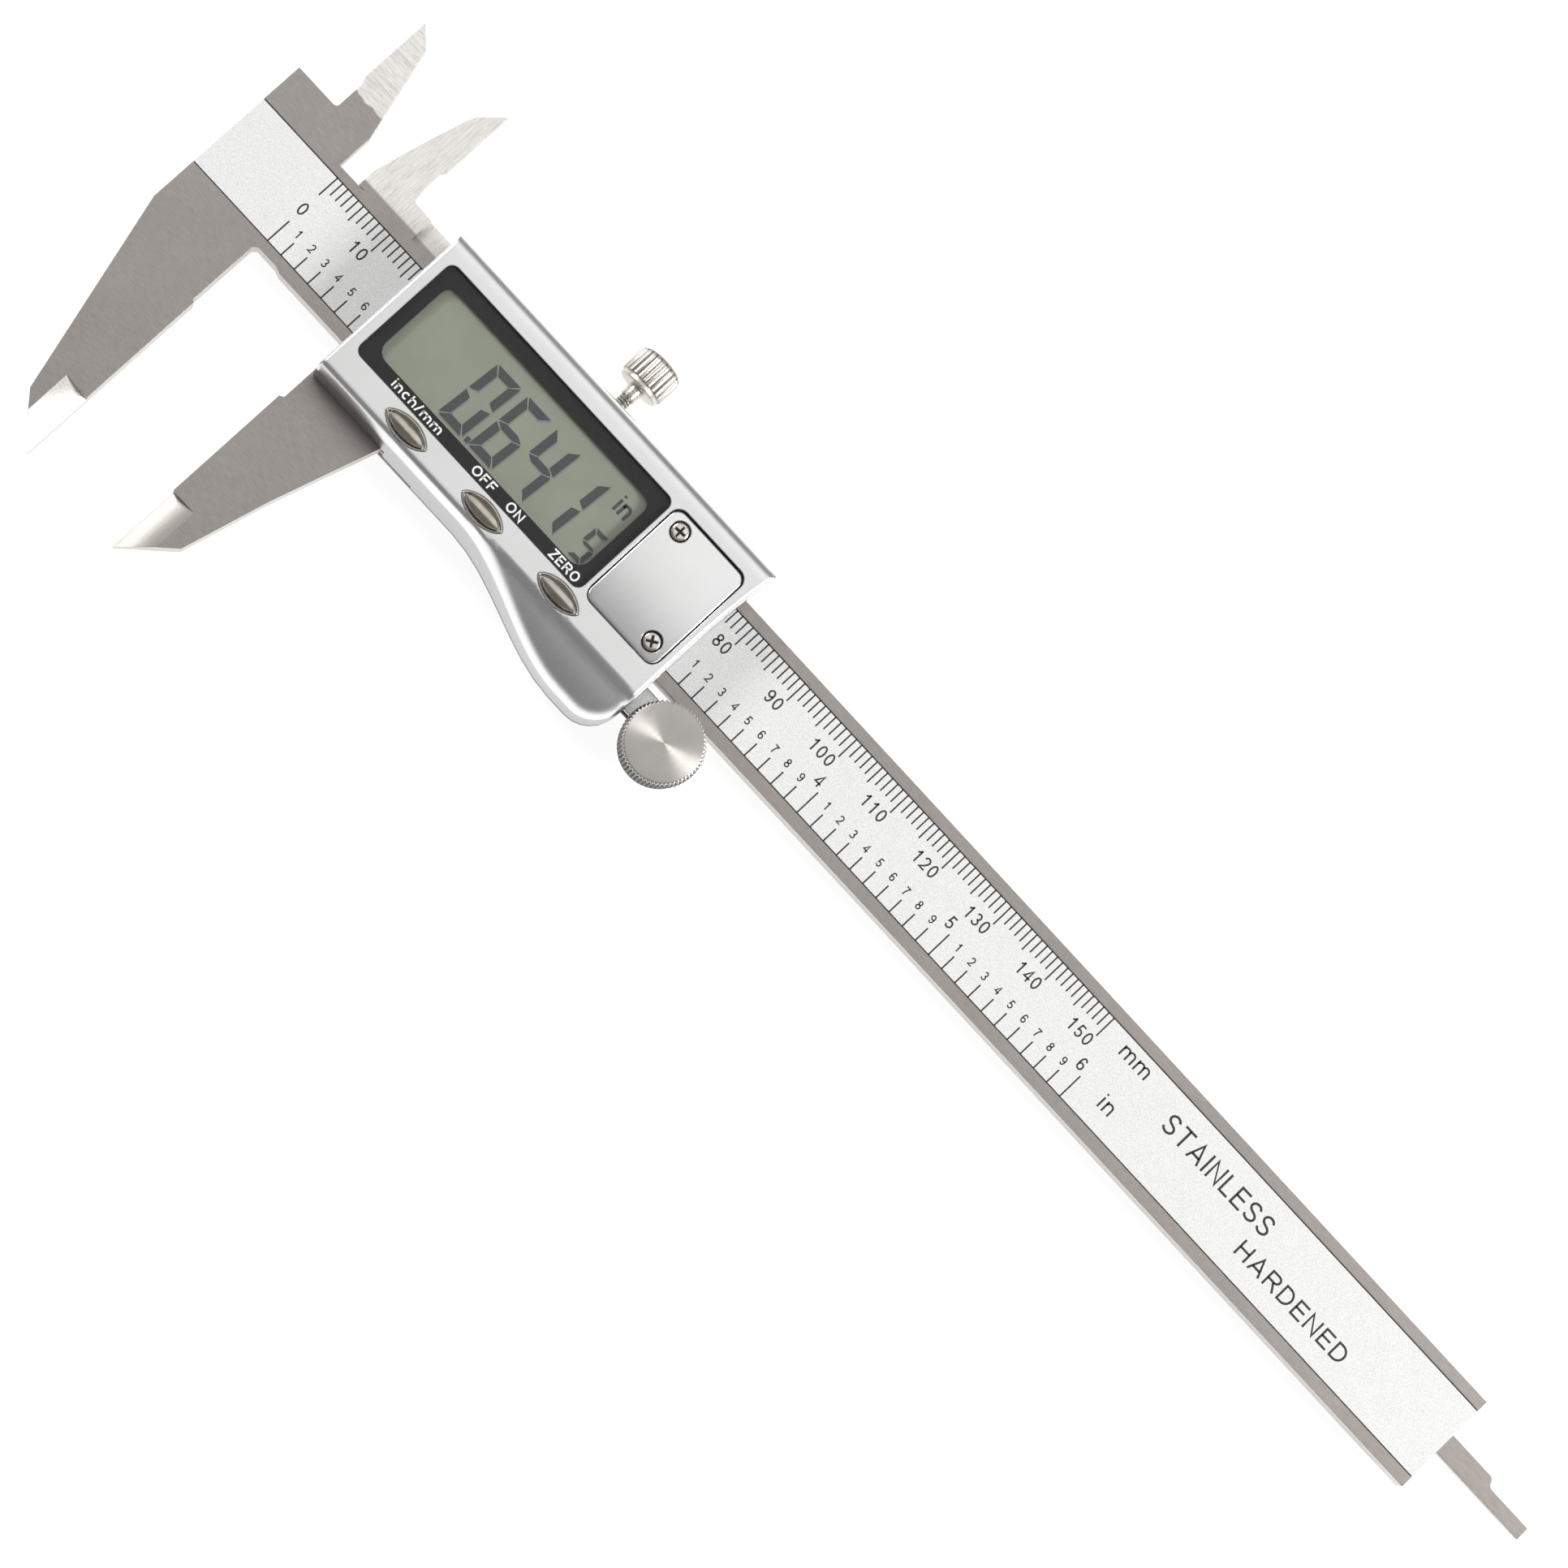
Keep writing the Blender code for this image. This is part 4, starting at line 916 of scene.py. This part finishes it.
words = [(text, start, end, LEGEND_Y, LEGEND_HEIGHT, LEGEND_PEN) for text, (start, end) in legends.items()]
white_print = print_ink("white_print", LEGEND_WHITE, 0.0)
lettering("button_legends", words, mask_top + PRINT_RISE, SLIDER, white_print, "slider")

# --------------------------------------------------
# The three push buttons: nickel-plated zinc lenses, crowned and polished, each sliding in a thin
# bright rim that is pressed into the housing.
CAP_SIZE = (6.25, 2.2)
RIM_INNER = (6.75, 2.64)
CAP_TOP = 8.42
CAP_LOW = 7.78
RIM_TOP = 8.14
RIM_FLOOR = 7.14
RIM_BASE = 7.0
RIM_JOINT = 0.12
WELL_FLOOR = 7.12
NICKEL = (0.84, 0.81, 0.76, 1)
NICKEL_SHADE = (0.66, 0.63, 0.57, 1)
CAP_NICKEL = (0.60, 0.56, 0.49, 1)
CAP_SHADE = (0.47, 0.43, 0.36, 1)


def bright_nickel(name, dark, light):
    material, shader, place = new_finish(name)
    hair = place.noise(12.0, (0.15, 1, 1), 3.0, 0.7)
    cloud = place.noise(0.7, (1, 1, 1), 3.0)
    colour = (hair * 0.5 + cloud * 0.5).step(0.35, 0.65).blend(dark, light)
    set_finish(shader, {"Base Color": colour, "Metallic": 1.0, "Roughness": 0.13 + hair * 0.10 + cloud * 0.05,
                        "Normal": bump(hair, 0.12, 0.004)})
    return material


def deep_shade():
    """Near-black sheets for narrow joints, wells and recesses: painted shade."""
    material, shader, place = new_finish("painted_joint_shade")
    grain = place.noise(4.0, (1, 1, 1), 3.0)
    set_finish(shader, {"Base Color": grain.blend((0.008, 0.008, 0.009, 1), (0.022, 0.021, 0.022, 1)),
                        "Roughness": 0.75 + grain * 0.2, "Normal": bump(grain, 0.3, 0.01)})
    return material


painted_gap_shade = deep_shade()
wells = [lens((x, BUTTON_Y), RIM_SIZE) for x in BUTTONS.values()]
# Painted shade: a near-black sheet on each button well's floor round the caps.
flat_shapes("button_wells", wells, WELL_FLOOR, SLIDER, painted_gap_shade, "slider")
nickel = bright_nickel("bright_nickel", NICKEL_SHADE, NICKEL)
cap_nickel = bright_nickel("cap_nickel", CAP_SHADE, CAP_NICKEL)
for button, x in BUTTONS.items():
    loop = lens((x, BUTTON_Y), [width - RIM_JOINT for width in RIM_SIZE])
    edges = ({"rim": (0.16, 0.14)}, ["rim"] * len(loop))
    mesh = skin(f"button_rim_{button}", loop, edges, lambda px, py: np.full_like(px, RIM_TOP),
                [(lens((x, BUTTON_Y), RIM_INNER), RIM_FLOOR)], 0.4, lambda px, py: RIM_BASE, SLIDER)
    new_piece(f"button_rim_{button}", mesh, nickel, "slider")
    loop = lens((x, BUTTON_Y), CAP_SIZE)
    edges = ({"cap": (0.22, 0.20)}, ["cap"] * len(loop))
    mesh = skin(f"button_cap_{button}", loop, edges,
                lambda px, py, x=x: CAP_TOP - 0.30 * (py - BUTTON_Y) ** 2 - 0.012 * (px - x) ** 2, [], 0.3,
                lambda px, py: CAP_LOW, SLIDER)
    cap = new_piece(f"button_cap_{button}", mesh, cap_nickel, f"key_{button}")
    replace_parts(cap, f"button_{button}")

# --------------------------------------------------
# The battery lid: a crowned plate of the same satin chrome, dropped in its bay and held by two
# small nickel cross-head screws in round seats. The joint, the seats and the crosses hold
# near-black sheets: painted shade.
LID_TOP = 8.06
LID_CROWN = 0.0066
LID_SWAY = 0.0016
LID_BASE = 7.12
JOINT_FLOOR = 7.10
PAINTED_SHADE_RISE = 0.01
SEAT_RADIUS = 1.44
SEAT_FLOOR = 7.32
SCREW_RADIUS = 1.24
LID_SCREWS = {"upper": ((48.45, 6.35), 4.0), "lower": ((56.4, -6.15), 34.0)}     # place and turn in degrees
CROSS_REACH = 0.78
CROSS_HALF = 0.15
CROSS_DEPTH = 0.32
HEAD_CROWN = 0.03


def circle(centre, radius, steps=36):
    turns = [2 * math.pi * step / steps for step in range(steps)]
    return [(centre[0] + radius * math.cos(turn), centre[1] + radius * math.sin(turn)) for turn in turns]


lid_loop = round_corners(LID_PLACE, LID_SIZE, LID_CORNER)
lid_edges = ({"lid": (0.30, 0.24)}, ["lid"] * len(lid_loop))
seats = [(circle(place, SEAT_RADIUS), SEAT_FLOOR) for place, turn in LID_SCREWS.values()]
mesh = skin("battery_lid", lid_loop, lid_edges,
            lambda x, y: LID_TOP - LID_CROWN * y ** 2 - LID_SWAY * (x - LID_PLACE[0]) ** 2, seats, 0.7,
            lambda x, y: LID_BASE, SLIDER)
# Painted shade: near-black sheets in the lid's joint and in the screws' seats.
joints = {"lid_joint": ([openings[1][0]], JOINT_FLOOR),
          "screw_seats": ([hole for hole, floor in seats], SEAT_FLOOR + PAINTED_SHADE_RISE)}
for name, (shapes, height) in joints.items():
    flat_shapes(name, shapes, height, SLIDER, painted_gap_shade, "slider")
lid = new_piece("battery_lid", mesh, chrome, "slider")
flat_shading(lid, 90)
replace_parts(lid, "battery_cover")
for corner, ((x, y), degrees) in LID_SCREWS.items():
    arm = [(CROSS_REACH, -CROSS_HALF * 0.8), (CROSS_REACH, CROSS_HALF * 0.8), (CROSS_HALF, CROSS_HALF)]
    cross = []
    for quarter in range(4):
        spin = Matrix.Rotation(math.radians(90 * quarter + degrees), 2)
        cross += [tuple(spin @ Vector(point) + Vector((x, y))) for point in arm]
    loop = circle((x, y), SCREW_RADIUS)
    top = FRONT - LID_CROWN * y ** 2 - 0.02
    mesh = skin(f"lid_screw_{corner}", loop, ({"head": (0.3, 0.22)}, ["head"] * len(loop)),
                lambda px, py, x=x, y=y, top=top: top - HEAD_CROWN * ((px - x) ** 2 + (py - y) ** 2),
                [(cross, top - CROSS_DEPTH)], 0.25, lambda px, py: SEAT_FLOOR - 0.1, SLIDER)
    # Painted shade in each screw's cross recess.
    flat_shapes(f"screw_cross_{corner}", [cross], top - CROSS_DEPTH + PAINTED_SHADE_RISE, SLIDER, painted_gap_shade,
                "slider")
    screw = new_piece(f"lid_screw_{corner}", mesh, nickel, "slider")
    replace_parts(screw, f"battery_cover_screw_{corner}")

# --------------------------------------------------
# The lock screw: turned brass, nickel plated, with a straight-knurled head, a flange under it and
# a fine thread that runs into the slider's upper rail.
LOCK_PLACE = SLIDER + Vector((30.6, 12.05, -1.75))
KNURLS = 24
THREAD_PITCH = 0.45
THREAD_DEPTH = 0.17
THREAD_START = -2.55
THREAD_RADIUS = 1.06
NICKEL_LIGHT = (0.64, 0.61, 0.56, 1)
# Painted shade for the roots of the flutes and the thread.
NICKEL_GROOVE_SHADE = (0.22, 0.205, 0.185, 1)


def spun(name, rings, teeth, around, frame_axes, origin, pitch=1.0, narrow=1.0):
    """A round piece made ring by ring along its axis.

    A ring is (height, radius), then the depth of its flutes and of its thread if it has them.
    """
    right, up, axis = frame_axes
    bm = bmesh.new()
    rows = []
    for height, radius, *cut in rings:
        flute, thread = (cut + [0, 0])[:2]
        row = []
        for step in range(around):
            turn = 2 * math.pi * step / around
            wave = (height / pitch + step / around) % 1.0
            groove = (0.5 - 0.5 * math.cos(teeth * turn)) ** narrow
            reach = radius - flute * groove - thread * abs(2 * wave - 1)
            point = origin + axis * height + right * (reach * math.cos(turn)) + up * (reach * math.sin(turn))
            row.append(vertex(bm, point, Vector()))
        rows.append(row)
    for lower, upper in zip(rows, rows[1:]):
        for step in range(around):
            after = (step + 1) % around
            bm.faces.new((lower[step], lower[after], upper[after], upper[step]))
    bm.faces.new(rows[0])
    bm.faces.new(rows[-1])
    bmesh.ops.recalc_face_normals(bm, faces=bm.faces)
    mesh = mesh_from(bm, name)
    mesh.shade_smooth()
    mesh.set_sharp_from_angle(angle=math.radians(40))
    return mesh


UP_RULE = (Vector((1, 0, 0)), Vector((0, 0, -1)), Vector((0, 1, 0)))
rings = [(-2.75, 0.7), (-2.6, 0.95)]
rings += [(THREAD_START + THREAD_PITCH * step / 8, THREAD_RADIUS, 0, THREAD_DEPTH) for step in range(97)]
rings += [(2.95, 0.92), (3.02, 1.1), (3.08, 1.15), (3.75, 1.15), (3.8, 1.06), (3.92, 1.06), (3.97, 1.2),
          (4.68, 1.2), (4.74, 1.9), (4.82, 3.0), (4.92, 3.14), (5.35, 3.14), (5.42, 3.05), (5.48, 3.1),
          (5.55, 3.4, 0.18), (5.6, 3.46, 0.24), (8.9, 3.47, 0.24), (9.15, 3.42, 0.2), (9.38, 3.2, 0.08),
          (9.5, 3.0), (9.72, 2.6), (9.88, 1.9), (9.96, 1.0), (10.0, 0.3)]
mesh = spun("knurled_lock_screw", rings, KNURLS, KNURLS * 12, UP_RULE, LOCK_PLACE, THREAD_PITCH, 2.4)
material, shader, place = new_finish("screw_nickel")
reach = place.distance(LOCK_PLACE, (1, 0, 1))
hair = place.noise(8.0, (1, 0.2, 1), 3.0, 0.7)
head = (coordinate(place, "Y") - LOCK_PLACE.y).step(5.45, 5.6)
# Painted shade: the roots of the head's flutes and of the thread are painted dark.
groove_shade = head * reach.step(3.22, 3.40) + (1 - head) * reach.step(0.89, 1.02)
set_finish(shader, {"Base Color": groove_shade.blend(NICKEL_GROOVE_SHADE, NICKEL_LIGHT), "Metallic": 1.0,
                    "Roughness": 0.30 + hair * 0.14, "Normal": bump(hair, 0.2, 0.006)})
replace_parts(new_piece("knurled_lock_screw", mesh, material, "lock"), "lock_screw")

# --------------------------------------------------
# The thumb roller on its bracket: a turned steel wheel with a knurled edge and a faced front that
# keeps the tool's fine circles, on an axle riveted in a zinc-plated spring bracket.
ROLLER_PLACE = SLIDER + Vector((67.1, -13.55, 0))
ROLLER_TEETH = 60
TURNED = (0.72, 0.685, 0.645, 1)
TURNED_SHADE = (0.62, 0.59, 0.55, 1)
# Painted shade for the knurled side.
KNURL_PAINTED_SHADE = (0.035, 0.032, 0.03, 1)

material, shader, place = new_finish("turned_steel")
circles = {"W": place.distance(ROLLER_PLACE), "Scale": 11.0, "Detail": 4.0, "Roughness": 0.8}
cut_marks = place.node("ShaderNodeTexNoise", {"noise_dimensions": "1D"}, circles, "Fac")
pits = place.noise(5.0, (1, 1, 1), 3.0).step(0.68, 0.78)
face = (cut_marks * 0.8 + pits * 0.2).step(0.3, 0.7).blend(TURNED_SHADE, TURNED)
reach = place.distance(ROLLER_PLACE, (1, 1, 0))
# Painted shade: the knurled side is painted near black, its crests a little less.
rim = reach.step(5.3, 5.36) * (1 - (coordinate(place, "Z") - SLIDER.z).step(4.2, 4.4))
knurl_shade = rim * (1 - reach.step(5.40, 5.68) * 0.2)
set_finish(shader, {"Base Color": knurl_shade.blend(face, KNURL_PAINTED_SHADE), "Metallic": 1.0,
                    "Anisotropic": 0.9, "Anisotropic Rotation": 0.25,
                    "Roughness": 0.28 + cut_marks * 0.10 + pits * 0.08,
                    "Normal": bump(cut_marks, 0.18, 0.006)})
ROUND_ROLLER = (Vector((1, 0, 0)), Vector((0, 1, 0)), Vector((0, 0, 1)))
rings = [(-1.6, 1.3), (-1.6, 5.2), (-1.5, 5.42), (-1.35, 5.5), (0.18, 5.5), (0.24, 5.45),
         (0.34, 5.55, 0.1), (0.5, 5.7, 0.3), (4.2, 5.7, 0.3), (4.4, 5.62, 0.26), (4.5, 5.46, 0.16),
         (4.585, 5.26), (4.6, 5.1), (4.595, 3.5), (4.59, 1.8), (4.585, 0.6), (4.585, 0.08)]
mesh = spun("thumb_wheel", rings, ROLLER_TEETH, ROLLER_TEETH * 6, ROUND_ROLLER, ROLLER_PLACE)
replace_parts(new_piece("thumb_wheel", mesh, material, "roller"), "thumb_roller")
for node in ("roller_axle", "gib_screw_left", "gib_screw_right", "depth_rod_pin", "bracket_rivet",
             "roller_spring"):
    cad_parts[node].data.materials[0] = material

ZINC = (0.88, 0.88, 0.87, 1)
ZINC_SHADE = (0.74, 0.74, 0.735, 1)
zinc, shader, place = new_finish("zinc_plate")
spangle = place.noise(1.6, (1, 1, 1), 3.0, 0.7)
grain = place.noise(9.0, (1, 1, 1), 2.0)
set_finish(shader, {"Base Color": spangle.step(0.4, 0.6).blend(ZINC_SHADE, ZINC), "Metallic": 1.0,
                    "Roughness": 0.26 + spangle * 0.16, "Normal": bump(grain, 0.3, 0.012)})
eased("roller_bracket", 0.12, zinc, "slider")

# --------------------------------------------------
# The back: a satin chrome cover, four countersunk screws, and the end stop with its two screws.
eased("back_cover", 0.15, chrome, "slider")
eased("end_stop_plate", 0.10, zinc, "rule")
for node in ("end_stop_screw_lower", "end_stop_screw_upper"):
    eased(node, 0.05, zinc, "rule", 1)
for corner in ("upper_left", "upper_right", "lower_left", "lower_right"):
    eased(f"back_cover_screw_{corner}", 0.05, zinc, "slider", 1)

# --------------------------------------------------
# The parts inside the body: moulded plastic, rubber contact strips, the board with its chip and
# dome switches, the cell with its contacts, and the brass strip that the lock screw presses.
INNER_FINISHES = {
    "black_moulding": ((0.022, 0.022, 0.024, 1), (0.045, 0.045, 0.047, 1), 0.0, 0.48,
                       ("lcd_frame", "battery_cup", "readout_chip")),
    "contact_rubber": ((0.04, 0.04, 0.045, 1), (0.07, 0.07, 0.075, 1), 0.0, 0.75,
                       ("zebra_strip_lower", "zebra_strip_upper")),
    "green_board": ((0.03, 0.15, 0.08, 1), (0.06, 0.27, 0.15, 1), 0.0, 0.45, ("circuit_board",)),
    "rolled_brass": ((0.55, 0.40, 0.18, 1), (0.74, 0.56, 0.28, 1), 1.0, 0.30,
                     ("gib_strip", "battery_contact_negative", "battery_contact_positive", "roller_spacer")),
    "cell_nickel": ((0.62, 0.60, 0.55, 1), (0.78, 0.76, 0.71, 1), 1.0, 0.20,
                    ("battery_cell", "dome_switch_unit", "dome_switch_power", "dome_switch_zero")),
}
for name, (dark, light, metallic, roughness, nodes) in INNER_FINISHES.items():
    material, shader, place = new_finish(name)
    grain = place.noise(3.0, (1, 1, 1), 4.0, 0.7)
    set_finish(shader, {"Base Color": grain.step(0.35, 0.65).blend(dark, light), "Metallic": metallic,
                        "Roughness": roughness + grain * 0.15, "Normal": bump(grain, 0.3, 0.015)})
    for node in nodes:
        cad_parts[node].data.materials[0] = material
